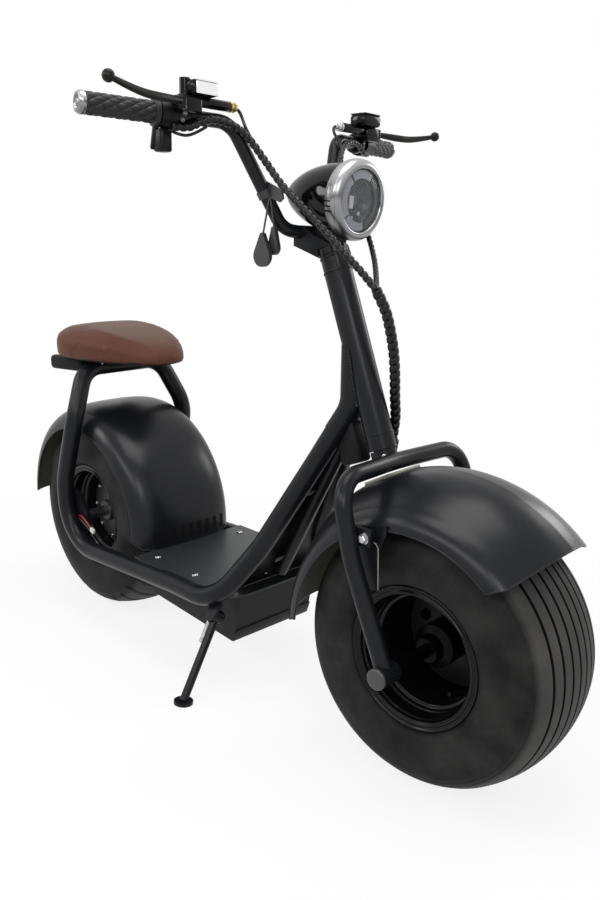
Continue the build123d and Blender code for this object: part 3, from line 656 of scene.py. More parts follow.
# Wheels
CROWN_RADIUS = 238.0
CROWN_HALF = 76.0
SIDEWALL_ROWS = (
    # axial, radius, from the crown's edge to the bead
    (76, 216.1), (84.5, 211.6), (92.5, 206.0), (99, 199.5), (105.5, 190), (110, 176),
    (113.3, 163), (114, 150), (112, 136), (107.5, 125), (102, 119.2), (97.8, 117.6),
)
INSIDE_ROWS = [(97.8, 104.4), (86, 104.4), (101, 150), (95, 184), (74, 202), (0, 216)]
SIDEWALL_LINES = (
    # radius, lift, half width
    (203.5, -0.8, 1.4),
    (199.0, 0.9, 1.6),
    (194.5, -0.6, 1.0),
    (126.5, 0.7, 1.8),
)
# Rear tread: curved grooves on each side, and how many pitches they lag at 100 mm from the middle
TREAD_GROOVES = 30
TREAD_SWEEP = 0.9
# Half a groove's width and its flank as shares of the pitch, its two ends, and the least radius it reaches
TREAD_HALF, TREAD_FLANK = 0.1, 0.025
TREAD_START, TREAD_END = 22.0, 102.0
TREAD_LOW = 192.0
# Ring each side of the rear tyre's middle rib: distance from the middle, half width, flank
RING_AT, RING_HALF, RING_FLANK = 10.0, 2.4, 0.8


def crown_height(y):
    """Radius of the plain tyre over its crown."""
    return TYRE_RADIUS - (CROWN_RADIUS - sqrt(CROWN_RADIUS**2 - y**2))


def lined(row):
    """Sidewall row raised or sunk at the moulded lines."""
    y, r = row
    lift = sum(rise * max(0.0, 1 - abs(r - radius) / half) for radius, rise, half in SIDEWALL_LINES)
    return y + lift * 0.7, r + lift * 0.7


def tyre_section(grooves, depth, width):
    """Closed (axial, radius) section of a tyre, its crown cut by straight grooves."""
    spread = [CROWN_HALF * i / 26 for i in range(-26, 27)]
    crown = [(y, crown_height(y)) for y in spread if all(abs(y - spot) > width / 2 + 0.8 for spot in grooves)]
    edge = width / 2
    cut = [(-edge - 0.5, 0.0), (-edge, 0.4), (0.3 - edge, depth)]
    cut += [(edge - 0.3, depth), (edge, 0.4), (edge + 0.5, 0.0)]
    crown += [(spot + dy, crown_height(spot + dy) - drop) for spot in grooves for dy, drop in cut]
    left = [lined(row) for row in smooth_rows(SIDEWALL_ROWS, 5)[1:]] + INSIDE_ROWS
    right = [(-y, r) for y, r in left[::-1]]
    return right[1:] + sorted(crown) + left


def sunk(row):
    """Whether a row of the section lies at the bottom of a groove, whose faces get near black painted shade.
    """
    y, r = row
    return abs(y) < CROWN_HALF and crown_height(y) - 1.5 > r > 206


def make_front_tyre(sizes, segments=180, rib_pitch=22.0):
    """Straight ribs round the crown."""
    spots = [(i - (sizes.rib_grooves - 1) / 2) * rib_pitch for i in range(sizes.rib_grooves)]
    section = tyre_section(spots, sizes.groove_depth, sizes.groove_width)
    points, faces = lathe(section, FRONT_HUB, (0, 1, 0), segments)
    # Faces at the groove floors get the painted shade
    marks = [int(sunk(a) or sunk(b)) for a, b in zip(section, section[1:] + section[:1])] * segments
    finish_names = ["front_tyre_rubber", "groove_black"]
    made = piece("front_tyre_ribbed", points, faces, "front_wheel", "tyre", finish_names, marks, sharp=32)
    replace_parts(made, "front_tyre")


def share(value):
    """The value kept between 0 and 1."""
    return max(0.0, min(1.0, value))


def tread_drop(y, r, angle, depth):
    """Depth of the rear tread at a point: curved grooves across, and a ring each side of the middle rib."""
    if r < TREAD_LOW:
        return 0.0
    reach = abs(y)
    stagger = 0.5 if y > 0 else 0.0
    swirl = TREAD_GROOVES * angle / (2 * pi) + stagger - TREAD_SWEEP * (reach / 100.0) ** 1.5
    phase = abs(swirl - floor(swirl) - 0.5)
    ends = share((reach - TREAD_START) / 4) * share((TREAD_END - reach) / 5)
    cut = share((TREAD_HALF - phase) / TREAD_FLANK) * ends
    ring = share((RING_HALF - abs(reach - RING_AT)) / RING_FLANK)
    return depth * max(cut, ring)


def make_rear_tyre(sizes, segments=360):
    """Curved grooves across the crown, in step all round."""
    plain = tyre_section([], 0, 1)
    section = []
    for a, b in zip(plain, plain[1:] + plain[:1]):
        section.append(a)
        if min(a[1], b[1]) > 185 and abs(a[0]) < 105:
            section.append(((a[0] + b[0]) / 2, (a[1] + b[1]) / 2))
    points, drops = [], []
    for i in range(segments):
        angle = 2 * pi * i / segments
        for y, r in section:
            drop = tread_drop(y, r, angle, sizes.groove_depth)
            drops.append(drop)
            points.append(REAR_HUB + Vector((cos(angle) * (r - drop), y, sin(angle) * (r - drop))))
    faces = grid_faces(segments, len(section), wrap_rows=True, wrap_columns=True)
    # Faces deep in the grooves get the painted shade
    marks = [int(min(drops[k] for k in face) > 0.6 * sizes.groove_depth) for face in faces]
    finish_names = ["rear_tyre_rubber", "groove_black"]
    made = piece("rear_tyre_grooved", points, faces, "rear_wheel", "tyre", finish_names, marks, sharp=38)
    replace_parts(made, "rear_tyre")


def mirrored_rows(rows):
    """Rows of the far side from those of the near side."""
    return tuple((-y, r) for y, r in rows[::-1])


def rolled_rim(name, hub, body, web, web_inner):
    """Deep barrel with rolled flanges, and a web from web_inner out at its place along the axle."""
    well = ((56, 92), (62, 104), (98, 104), (98, 117.6), (101, 117))
    lip = ((101.5, 114), (99, 112), (99, 109.5), (101, 108), (101, 105.5), (98.5, 104), (98.5, 102.5))
    lip += ((93, 101), (90, 98.5))
    barrel = ((70, 98.5), (67, 95), (62, 95), (60, 89))
    disc = ((web + 3, 89), (web + 3, web_inner), (web - 3, web_inner), (web - 3, 89))
    rows = mirrored_rows(well) + well + lip + barrel + disc + mirrored_rows(barrel) + mirrored_rows(lip)
    shape = lathe(rounded(rows, 1.6, 2), hub, (0, 1, 0), 128)
    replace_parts(piece(f"{name}_rolled", *shape, body, "rim_paint", ["rim_paint"], sharp=50), name)


def valve(hub):
    """Rubber valve stem through the barrel."""
    stem = [hub + Vector((70, -62, -48)), hub + Vector((66, -72, -45)), hub + Vector((62, -86, -42))]
    return tube(nurbs_path(stem), 3.6, 12)


def spokes(count, first=0.0):
    """Unit vectors spread round an axle."""
    return [Vector((cos(a), 0, sin(a))) for a in (2 * pi * (i + first) / count for i in range(count))]


def make_wheels(sizes):
    """Treaded tyres, rims with rolled flanges, valves and hub details."""
    make_front_tyre(sizes)
    make_rear_tyre(sizes)
    rolled_rim("front_rim", FRONT_HUB, "front_wheel", 30.0, 36.0)
    rolled_rim("rear_rim", REAR_HUB, "rear_wheel", 0.0, 84.0)
    bolts = []
    for out in spokes(5, 0.3):
        for y, side in ((27, -1), (33, 1)):
            bolts.append(hex_bolt(FRONT_HUB + out * 62 + Vector((0, y, 0)), (0, side, 0), 7.5, 7))
    piece("wheel_bolts", *join(bolts), "front_wheel", "rim_paint", ["hub_black"])
    ring = rounded(((-58.2, 9), (-58.2, 17), (-60.5, 19), (-60.5, 9)), 0.6, 2)
    seals = [lathe(ring, FRONT_HUB, (0, side, 0), 40) for side in (-1, 1)]
    piece("bearing_seals", *join(seals), "front_wheel", "rim_paint", ["hub_black"])
    piece("front_valve", *valve(FRONT_HUB), "front_wheel", "tyre", ["hub_black"])
    piece("rear_valve", *valve(REAR_HUB), "rear_wheel", "tyre", ["grip_rubber"])
    screws = []
    for out in spokes(8):
        for side in (-1, 1):
            screws.append(dome_bolt(REAR_HUB + out * 66 + Vector((0, side * 45, 0)), (0, side, 0), 4.2, 4))
    piece("motor_cover_screws", *join(screws), "rear_wheel", "steel", ["bright_zinc"])


# Fenders
# Half sections from the crown to the edge as (axial, radius), and the angles of the ends above forward
FRONT_FENDER_ROWS = (
    (0, 284), (32, 280.4), (62, 270.5), (88, 256.8), (106, 246.2),
    (118, 240.0), (128, 232.4), (134.5, 223), (138, 212.5),
)
REAR_FENDER_ROWS = ((0, 257), (40, 256.4), (74, 253.2), (98, 246), (114, 235), (123, 221), (126, 209))
FRONT_FENDER_ENDS = (180.0, 46.0)
REAR_FENDER_ENDS = (178.0, -4.6)
FENDER_SHEET = 2.5
FENDER_STEPS = 96
# How far in from the edge a corner is rounded off, and how many degrees it loses
CORNER_REACH, CORNER_ANGLE = 16.0, 3.2


def full_width(half_rows):
    """Fender section from near edge to far edge."""
    half = smooth_rows(half_rows, 6)
    return [Vector((-row[0], row[1])) for row in half[::-1]] + half[1:]


def on_wheel(hub, angle, y, r):
    """Point round a wheel: degrees above forward, axial place and radius."""
    return hub + Vector((cos(radians(angle)) * r, y, sin(radians(angle)) * r))


def swept(ends, t, y, half):
    """Angle at a share of a fender's length. Its corners are rounded off at the ends."""
    start, end = ends
    corner = max(0.0, (abs(y) - half + CORNER_REACH) / CORNER_REACH) ** 2 * CORNER_ANGLE
    return start - corner + (end - start + 2 * corner) * t


def fender_sheet(name, hub, body, half_rows, ends):
    """Smooth sheet fender, painted outside and plain underneath."""
    outer = full_width(half_rows)
    inner = []
    for i, here in enumerate(outer):
        run = run_at(outer, i)
        inner.append(here - Vector((-run.y, run.x)) * FENDER_SHEET)
    loop = outer + inner[::-1]
    columns = len(loop)
    half = half_rows[-1][0]
    points = []
    for i in range(FENDER_STEPS + 1):
        points += [on_wheel(hub, swept(ends, i / FENDER_STEPS, y, half), y, r) for y, r in loop]
    faces = open_grid(FENDER_STEPS + 1, columns)
    marks = [int(len(outer) - 1 < j < columns - 1) for j in range(columns)] * FENDER_STEPS
    for base in (0, FENDER_STEPS * columns):
        for j in range(len(outer) - 1):
            faces.append((base + j, base + j + 1, base + columns - 2 - j, base + columns - 1 - j))
            marks.append(0)
    finish_names = ["fender_paint", "fender_underside"]
    return piece(name, points, faces, body, "fender_paint", finish_names, marks, sharp=50)


def edge_curl(name, hub, body, half_rows, ends, radius=1.5, steps=60):
    """Rolled edge round a fender's outline."""
    across = full_width(half_rows)
    half = half_rows[-1][0]
    sweep = [i / steps for i in range(steps + 1)]
    route = [(t, *across[0]) for t in sweep] + [(1.0, y, r) for y, r in across[1:-1]]
    route += [(t, *across[-1]) for t in sweep[::-1]] + [(0.0, y, r) for y, r in across[-2:0:-1]]
    path = [on_wheel(hub, swept(ends, t, y, half), y, r - 1.2) for t, y, r in route]
    path.append(path[0])
    piece(name, *tube(path, radius, 8, open_grid), body, "fender_paint", ["fender_paint"], sharp=80)


def foot_slot_shade(y, half_width=4.4, lift=0.6, ends=(-2.0, 4.4)):
    """Painted shade of an upright slot pressed into the rear fender's foot, as a thin dark strip."""
    rows = smooth_rows(REAR_FENDER_ROWS, 6)
    strip = []
    for out in (lift, -lift):
        for angle in ends:
            for across in (y - half_width, y + half_width):
                r = min(rows, key=lambda row: abs(row[0] - abs(across)))[1]
                strip.append(on_wheel(REAR_HUB, angle, across, r + out))
    return strip, [(0, 1, 3, 2), (4, 6, 7, 5), (0, 2, 6, 4), (1, 5, 7, 3), (0, 4, 5, 1), (2, 3, 7, 6)]


def make_fenders():
    """Both fenders as smooth sheets with rolled edges, and the rear one's slots as dark strips of painted
    shade.
    """
    for name, hub, body, half_rows, ends in (
        ("front_fender", FRONT_HUB, "steering", FRONT_FENDER_ROWS, FRONT_FENDER_ENDS),
        ("rear_fender", REAR_HUB, "frame", REAR_FENDER_ROWS, REAR_FENDER_ENDS),
    ):
        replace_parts(fender_sheet(f"{name}_sheet", hub, body, half_rows, ends), name)
        edge_curl(f"{name}_edge", hub, body, half_rows, ends)
    strip = [on_wheel(FRONT_HUB, *place) for place in ((124, -26, 282.6), (112, -34, 281.4), (106, 10, 285))]
    strip = tube(smooth_rows(strip, 12), 3.2)
    piece("front_fender_strip", *strip, "steering", "fender_paint", ["fender_strip"])
    # Dark strips painted as the shade in the foot's slots
    slots = [foot_slot_shade((i - 4) * 22.0) for i in range(9)]
    piece("rear_fender_slot_shades", *join(slots), "frame", "fender_paint", ["groove_black"])


# Seat
SEAT_BASE = 593.0
SEAT_VOXEL = 5.5 * MM
SWELL_FRAMES = 14
# The bottom is held flat up to a height, and let go over the next stretch, in metres
HELD_HEIGHT, HELD_EASE = 0.004, 0.012
SEAT_STATIONS = (
    # x, half width, height of the shoulder, height of the middle, bottom inset
    (-131, 30, 36, 38, 3),
    (-125, 66, 48, 51, 5),
    (-108, 97, 56, 59, 7),
    (-80, 116, 60, 64, 8),
    (-45, 124, 61, 66, 9),
    (0, 122, 59, 65, 9),
    (45, 114, 55, 61.5, 9),
    (90, 100, 48, 54.5, 8),
    (128, 83, 40, 46, 7),
    (162, 64, 31, 36, 6),
    (186, 47, 24, 28, 4),
    (199, 30, 18, 20, 3),
    (204, 13, 13, 14, 2),
)


def seat_ring(x, half, shoulder, middle, inset):
    """Section of the saddle: flat top panel with an edge, round shoulder, side tucked in below."""
    right = [(0, 0), (half - inset, 0), (half - inset * 0.2, 5), (half, shoulder * 0.42)]
    right += [(half - 2, shoulder * 0.62), (half * 0.93, shoulder * 0.8), (half * 0.8, shoulder * 0.93)]
    right += [(half * 0.64, middle * 0.975), (0, middle)]
    ring = right + [(-y, z) for y, z in right[-2:0:-1]]
    return [Vector((x, y, SEAT_BASE + z)) for y, z in ring]


def seat_blank():
    """Closed saddle form: broad rear, narrow nose falling forward."""
    around = [seat_ring(*row) for row in smooth_rows(SEAT_STATIONS, 4)]
    return [point for ring in around for point in ring], capped_grid(len(around), len(around[0]))


def swell(made, cap):
    """Let the padding swell against its cover by a short cloth run, then fix the result."""
    before = [v.co.copy() for v in made.data.vertices]
    cloth = made.modifiers.new("padding", "CLOTH")
    cloth.settings.quality = 5
    cloth.settings.mass = 0.3
    cloth.settings.tension_stiffness = 15
    cloth.settings.compression_stiffness = 15
    cloth.settings.bending_stiffness = 1.5
    cloth.settings.use_pressure = True
    cloth.settings.uniform_pressure_force = 3.0
    cloth.settings.effector_weights.gravity = 0.0
    for number in range(1, SWELL_FRAMES + 1):
        bpy.context.scene.frame_set(number)
    graph = bpy.context.evaluated_depsgraph_get()
    moved = [v.co.copy() for v in made.evaluated_get(graph).data.vertices]
    made.modifiers.clear()
    bpy.context.scene.frame_set(1)
    floor_level = min(p.z for p in before)
    for vertex, old, new in zip(made.data.vertices, before, moved):
        step = new - old
        if step.length > cap:
            step *= cap / step.length
        vertex.co = old + step * share((old.z - floor_level - HELD_HEIGHT) / HELD_EASE)


def apply_modifiers(made):
    """Fix what the modifiers give as the mesh."""
    graph = bpy.context.evaluated_depsgraph_get()
    made.data = bpy.data.meshes.new_from_object(made.evaluated_get(graph))
    made.modifiers.clear()


def seat_form():
    """The saddle's form as an object with even faces, in metres but not yet parked."""
    points, faces = seat_blank()
    mesh = bpy.data.meshes.new("seat_padding")
    mesh.from_pydata([Vector(p) * MM for p in points], [], faces)
    mesh.materials.append(finishes["leatherette"])
    made = bpy.data.objects.new("seat_padding", mesh)
    bpy.context.collection.objects.link(made)
    bpy.context.view_layer.objects.active = made
    remesh = made.modifiers.new("even", "REMESH")
    remesh.mode = "VOXEL"
    remesh.voxel_size = SEAT_VOXEL
    ease = made.modifiers.new("ease", "SMOOTH")
    ease.iterations = 3
    apply_modifiers(made)
    return made


def make_seat(sizes):
    """Padded saddle: remeshed form, cloth simulation, then smoothing."""
    made = seat_form()
    swell(made, sizes.seat_rise * MM)
    divide = made.modifiers.new("divide", "SUBSURF")
    divide.levels = 1
    divide.render_levels = 1
    apply_modifiers(made)
    made.data.transform(PARKED @ Matrix.Scale(1 / MM, 4))
    for polygon in made.data.polygons:
        polygon.use_smooth = True
    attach(made, "frame")
    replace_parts(made, "seat_cushion")


# Handlebar
BAR_END = Vector((517.0, -366.0, 1040.0))
BAR_BEND = Vector((577.0, -131.0, 1034.0))
BAR_RUN = (BAR_BEND - BAR_END).normalized()
BAR_RADIUS = 11.3
GRIP_LENGTH = 116.0
# Grip radii: lip at the bar's end, hollows of the quilting, its puffs, flange, flange's edges
LIP, HOLLOW, PUFF, FLANGE, FLANGE_EDGE = 16.3, 13.9, 2.9, 20.5, 19.6
LIP_LENGTH, FLANGE_LENGTH = 5.0, 7.0
FLANGE_EASE = 0.6
QUILT_PITCH = 22.0


def on_bar(distance):
    return BAR_END + BAR_RUN * distance


def grip_reach(run, angle, quilts):
    """Radius of the quilted grip at a length from the bar's end."""
    if run < LIP_LENGTH:
        return LIP
    if run > GRIP_LENGTH - FLANGE_LENGTH:
        inside = FLANGE_EASE < GRIP_LENGTH - run < FLANGE_LENGTH - FLANGE_EASE
        return FLANGE if inside else FLANGE_EDGE
    across, around = run / QUILT_PITCH, angle * quilts / (2 * pi)
    puff = (abs(sin(pi * (across + around))) * abs(sin(pi * (across - around)))) ** 0.45
    return HOLLOW + PUFF * puff


def quilted_grip(quilts, rows=150, around=120):
    """Grip with a bore for the bar."""
    side, up = axes_of(BAR_RUN)
    angles = [2 * pi * j / around for j in range(around)]
    turns = [(angle, side * cos(angle) + up * sin(angle)) for angle in angles]
    runs = [2.0 + (GRIP_LENGTH - 2.0) * i / rows for i in range(rows + 1)]
    points = [on_bar(run) + out * grip_reach(run, angle, quilts) for run in runs for angle, out in turns]
    points += [on_bar(run) + out * BAR_RADIUS for run in (runs[-1], runs[0]) for _, out in turns]
    return points, grid_faces(rows + 3, around, wrap_rows=True, wrap_columns=True)


BAR_END_ROWS = (
    # inward along the bar, radius
    (2, BAR_RADIUS), (2, 16.6), (-4, 17), (-9, 14.4), (-9, 10.4),
    (-6.5, 9.6), (-6.5, 6), (-9, 5), (-9, CORE), (1.5, CORE),
)


def make_grips(sizes):
    """Quilted rubber grips with their flanges, and ringed chrome bar ends."""
    right = quilted_grip(sizes.grip_quilts)
    for name, shape in (("right_grip", right), ("left_grip", flipped(right))):
        made = piece(f"{name}_quilted", *shape, "steering", "grip_rubber", ["grip_rubber"], sharp=48)
        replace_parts(made, name)
    ends = both_sides(lathe(rounded(BAR_END_ROWS, 1.8, 3), BAR_END, BAR_RUN, 56))
    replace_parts(piece("ringed_bar_ends", *ends, "steering", "chrome", ["soft_silver"]), "bar_ends")


# Controls, placed forward, left and up from the middle of the perch's clamp or of the switch cluster
PERCH = on_bar(GRIP_LENGTH + 38)
CLUSTER = on_bar(GRIP_LENGTH + 14)
LEVER_ROUTE = ((34, -24.5, 16), (45, -70, 13), (50, -120, 15), (60, -174, 26))
TO_RIDER = Vector((-1, 0, 0.25)).normalized()
ABOVE = Vector((0, 0, 1))


def from_perch(x, y, z):
    return PERCH + Vector((x, y, z))


def from_cluster(x, y, z):
    return CLUSTER + Vector((x, y, z))


def perch_body():
    """Bar clamp, lever pivot block, reservoir, master cylinder, and mirror boss with its hole."""
    start = on_bar(GRIP_LENGTH + 28.5)
    clamp_rows = ((0, BAR_RADIUS), (0, 18), (19.5, 18), (19.5, BAR_RADIUS))
    clamp = lathe(rounded(clamp_rows, 1.0, 2), start, BAR_RUN, 48)
    pivot_block = box_of(from_perch(23, -5, 14), (30, 38, 24), ease=2.5)
    reservoir = box_of(from_perch(30, 12, 36.5), (36, 52, 20), ease=4.5)
    master = closed_turn(stepped((0, 66, 8)), from_perch(26, 12, 20), (0, 1, 0))
    boss_rows = ((-14, CORE), (-14, 8), (12, 8), (12, 4), (0, 4), (0, CORE))
    boss = lathe(boss_rows, from_perch(26, -12, 38), ABOVE, 40, closed=False)
    return join((clamp, pivot_block, reservoir, master, boss))


def lever_blade():
    """Curved blade, deepest a third of the way out, with a ball end and a pivot."""
    path = nurbs_path([from_perch(*row) for row in LEVER_ROUTE], 44)
    points, around = [], 20
    for i, here in enumerate(path):
        t = i / (len(path) - 1)
        ahead = run_at(path, i)
        tall = (ABOVE - ahead * ahead.z).normalized()
        out = ahead.cross(tall)
        deep, thin = 4.0 + 2.2 * sin(pi * t**0.62), 4.2 - 0.4 * t
        for j in range(around):
            a = 2 * pi * j / around
            points.append(here + tall * deep * sin(a) + out * thin * cos(a))
    blade = points, capped_grid(len(path), around)
    ball_rows = [(9 * cos(pi * k / 16), max(CORE, 9 * sin(pi * k / 16))) for k in range(17)]
    ball = lathe(ball_rows, path[-1], (1, -1, 0), 32, closed=False)
    pivot = closed_turn(stepped((-10, 10, 7)), from_perch(32, -22, 15), ABOVE, 1.0, 24)
    return join((blade, ball, pivot))


def make_perches():
    """Perches and levers. The right reservoir has a chrome face and lid, the left a black lid."""
    body, blade = perch_body(), lever_blade()
    for side, shape, lever in (("right", body, blade), ("left", flipped(body), flipped(blade))):
        made = piece(f"{side}_perch_cast", *shape, "steering", "shell_gloss", ["gloss_black"])
        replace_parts(made, f"{side}_perch")
        made = piece(f"{side}_lever_blade", *lever, "steering", "lever_paint", ["lever_black"], sharp=60)
        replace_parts(made, f"{side}_lever")
    face = box_of(from_perch(47.6, 14, 36.5), (3.4, 44, 18), ease=1.4)
    lid = box_of(from_perch(31, 13, 47.2), (35, 47, 2.8), ease=1.2)
    screws = [dome_bolt(from_perch(31, y, 48.5), ABOVE, 3.0, 1.4, 16) for y in (-3, 29)]
    piece("right_reservoir_face", *join([face, lid] + screws), "steering", "chrome", ["bright_chrome"])
    piece("left_reservoir_lid", *flipped(join([lid] + screws)), "steering", "shell_gloss", ["gloss_black"])
    nut_rows = stepped((0, 3, 8.4), (3, 8, 6.6), (8, 11, 8), (11, 17, 5))
    nut = closed_turn(nut_rows, from_perch(26, 78, 20), (0, 1, 0), 0.5)
    piece("brake_line_nut", *nut, "steering", "chrome", ["brass"])
    piece("left_brake_line_nut", *flipped(nut), "steering", "chrome", ["bright_zinc"])


def make_switches():
    """Throttle box on its arm, switch buttons and the small screws beside the levers."""
    box = box_of(from_cluster(-7, 0, -38), (22, 22, 34), ease=3.0)
    arm = box_of(from_cluster(-15, -9, -28), (9, 8, 36), (1, 0, -0.2), ease=2.0)
    knob = closed_turn(stepped((0, 5, 4.5)), from_cluster(-18, -8, -47), (-1, -0.4, 0), 1.2, 20)
    cast = join((box, arm, knob))
    made = piece("throttle_box_cast", *cast, "steering", "switch_plastic", ["switch_plastic"])
    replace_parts(made, "throttle_box")
    face = CLUSTER + TO_RIDER * 21
    spots = [face + Vector((0, y, z)) for y, z in ((-4, 8), (6, 0), (-4, -8))]
    buttons = join([box_of(spot, (5, 8, 6), TO_RIDER, ease=0.8) for spot in spots])
    piece("switch_buttons", *both_sides(buttons), "steering", "switch_plastic", ["button_grey"])
    stop = box_of(CLUSTER + TO_RIDER * 21.5 + Vector((0, 7, 9)), (6, 7, 6), TO_RIDER, ease=1.2)
    piece("stop_button", *stop, "steering", "switch_plastic", ["red_button"])
    spots = [from_perch(*place) for place in ((36, -21, 6), (36, -20, -2), (34, -23, -11))]
    studs = join([dome_bolt(spot, (0.8, -0.6, 0.1), 3.6, 3.4, 18) for spot in spots])
    piece("perch_studs", *both_sides(studs), "steering", "switch_plastic", ["button_grey"])
    wedge = box_of(from_cluster(-4, -3, 20.5), (16, 11, 5), (1, 0.3, -0.1), (-0.3, 1, 0), ease=1.5)
    piece("cluster_screw_plate", *both_sides(wedge), "steering", "chrome", ["chrome"])


def make_controls():
    """Levers, perches, throttle box and switches."""
    make_perches()
    make_switches()


# Headlight
# Rows are (forward along the lamp's axis, radius)
LAMP_FRONT = Vector((738.0, 0.0, 919.0))
LAMP_DIP = radians(5)
LAMP_OUT = Vector((cos(LAMP_DIP), 0, -sin(LAMP_DIP)))
SHELL_ROWS = [(-150, 0.2), (-147, 11), (-138, 21), (-122, 32), (-100, 43), (-75, 51), (-48, 56), (-22, 58)]
SHELL_INSIDE = [(-22, 55), (-75, 47), (-130, 22), (-142, 0.2)]
BEZEL_ROWS = (
    (-21.7, 50), (-21.7, 60), (-18, 62.6), (-12, 64), (-2, 64), (1, 62.5),
    (2, 63.2), (5, 61), (8, 57), (9, 53), (8, 50), (5, 49), (2, 49),
)
RING_PARTS = (
    # name, start and end in degrees from straight up towards the right, finish
    ("top", -30, 34, "light_ring"),
    ("near", 40, 128, "light_ring"),
    ("low", 132, 196, "light_ring"),
    # The far arc is the same ring in dark grey: painted shade
    ("far", 200, 326, "ring_grey"),
)
BOWL_ROWS = (
    (-5.5, 34.5), (-12, 30), (-18, 24), (-21.5, 16), (-22.5, CORE),
    (-23.5, CORE), (-23.5, 17), (-19, 27), (-6.5, 35),
)


def on_lamp(forward, reach, angle):
    """Point round the lamp's axis: degrees from straight up towards the right."""
    lamp_up = Vector((-LAMP_OUT.z, 0, LAMP_OUT.x))
    out = lamp_up * cos(radians(angle)) - Vector((0, sin(radians(angle)), 0))
    return LAMP_FRONT + LAMP_OUT * forward + out * reach


def bezel_slot_shade(angle):
    """Painted shade of a slot in the bezel's side, as a dark box."""
    spot = on_lamp(-12, 63.6, angle)
    out = (spot - on_lamp(-12, 0, angle)).normalized()
    return box_of(spot, (13, 2.4, 2.2), LAMP_OUT, out.cross(LAMP_OUT).cross(LAMP_OUT), 0.5)


def lamp_part(name, rows, finish_name, slot="reflector", segments=64, closed=False):
    """Turned part of the lamp."""
    shape = lathe(rows, LAMP_FRONT, LAMP_OUT, segments, closed)
    return piece(name, *shape, "steering", slot, [finish_name])


def ring_arc(name, start, end, finish_name):
    """Part of the light ring between two angles round the lamp's axis."""
    section = ((5.0, 34.5), (3.6, 47.2), (2.1, 47.2), (3.5, 34.5))
    steps = max(2, int(abs(end - start) / 5))
    points = []
    for i in range(steps + 1):
        angle = start + (end - start) * i / steps
        points += [on_lamp(forward, reach, angle) for forward, reach in section]
    ends = [(0, 1, 2, 3), tuple(steps * 4 + k for k in (3, 2, 1, 0))]
    faces = open_grid(steps + 1, len(section)) + ends
    piece(name, points, faces, "steering", "reflector", [finish_name])


def make_lamp_inside():
    """Light ring in segments, its far arc painted shade, and the projector in its dark bowl with what it
    mirrors as painted highlights.
    """
    for name, start, end, finish_name in RING_PARTS:
        ring_arc(f"headlight_ring_{name}", start, end, finish_name)
    lamp_part("headlight_bowl", BOWL_ROWS, "lamp_dark", closed=True)
    dome = [(-14 + 7 * sin(pi / 2 * k / 8), max(CORE, 15 * cos(pi / 2 * k / 8))) for k in range(9)]
    lamp_part("headlight_projector", [(-22, 15), (-14, 15)] + dome, "ring_grey")
    # Painted reflection: a cream streak on the projector where it would mirror light
    painted_streak = box_of(on_lamp(-8.5, 9, 112), (3, 10, 20), LAMP_OUT, ease=1.4)
    piece("headlight_reflection_painted", *painted_streak, "steering", "reflector", ["cream"])
    # Painted glints: two small cream domes on the projector
    near, low = on_lamp(-9.5, 25, 215), on_lamp(-9.5, 27, 176)
    painted_glints = [dome_bolt(spot, LAMP_OUT, size, 1.2, 14) for spot, size in ((near, 3.4), (low, 2.2))]
    piece("headlight_glints_painted", *join(painted_glints), "steering", "reflector", ["cream"])


def make_headlight():
    """Teardrop shell, bezel with its slots as dark boxes of painted shade, and the inside."""
    rows = [tuple(row) for row in smooth_rows(SHELL_ROWS, 5)] + SHELL_INSIDE
    shell = lamp_part("headlight_bucket", rows, "gloss_black", "shell_gloss", 96)
    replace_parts(shell, "headlight_shell")
    bezel_rows = rounded(BEZEL_ROWS, 1.6, 3)
    bezel = lamp_part("headlight_trim_ring", bezel_rows, "soft_silver", "chrome", 120, closed=True)
    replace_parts(bezel, "headlight_bezel")
    # Dark boxes painted as the shade in the bezel's slots
    slots = join([bezel_slot_shade(side * angle) for side in (-1, 1) for angle in (94, 101, 108)])
    piece("headlight_slot_shades", *slots, "steering", "chrome", ["groove_black"])
    make_lamp_inside()


# Cables
MAIN_ROUTE = (
    (564, -240, 1018), (575, -217, 1016), (580, -200, 1026), (584, -183, 1032),
    (588, -165, 1033), (593, -145, 1029), (599, -128, 1021), (605, -113, 1007),
    (614, -102, 989), (628, -94, 968), (644, -88, 946), (662, -84, 928),
    (683, -82, 912), (709, -79, 891), (733, -74, 869), (761, -64, 839),
    (789, -50, 809), (809, -38, 782),
)
TRUNK_ROUTE = (
    (809, -38, 782), (818, -24, 755), (818, -8, 720), (816, 8, 680),
    (813, 18, 639), (808, 27, 604), (806, 35, 574), (801, 38, 545),
    (797, 38, 518),
)
SIDE_ROUTE = (
    (564, 240, 1018), (575, 217, 1016), (580, 200, 1026), (584, 183, 1032),
    (588, 165, 1033), (593, 145, 1029), (599, 128, 1021), (605, 113, 1007),
    (614, 102, 989), (628, 94, 968), (644, 88, 946), (662, 84, 923),
    (683, 76, 898), (709, 62, 873), (741, 40, 838), (772, 10, 806),
    (806, -33, 783),
)


# The wrap's ribbon and its rounded edges as shares of its pitch, and the spacing of the bundle's rings
RIBBON, RIBBON_EDGE = 0.72, 0.08
RING_STEP = 1.4


def wrapped(route, low, high, pitch):
    """Cable bundle in spiral wrap: a raised ribbon with a gap each turn."""

    def reach(_, run, angle):
        phase = run / pitch - angle / (2 * pi)
        phase -= floor(phase)
        edge = min(phase, RIBBON - phase) if phase < RIBBON else 0.0
        return low + (high - low) * min(1.0, edge / RIBBON_EDGE) ** 0.5

    line = nurbs_path(route)
    return tube(even_path(line, int(path_length(line) / RING_STEP)), reach, 18)


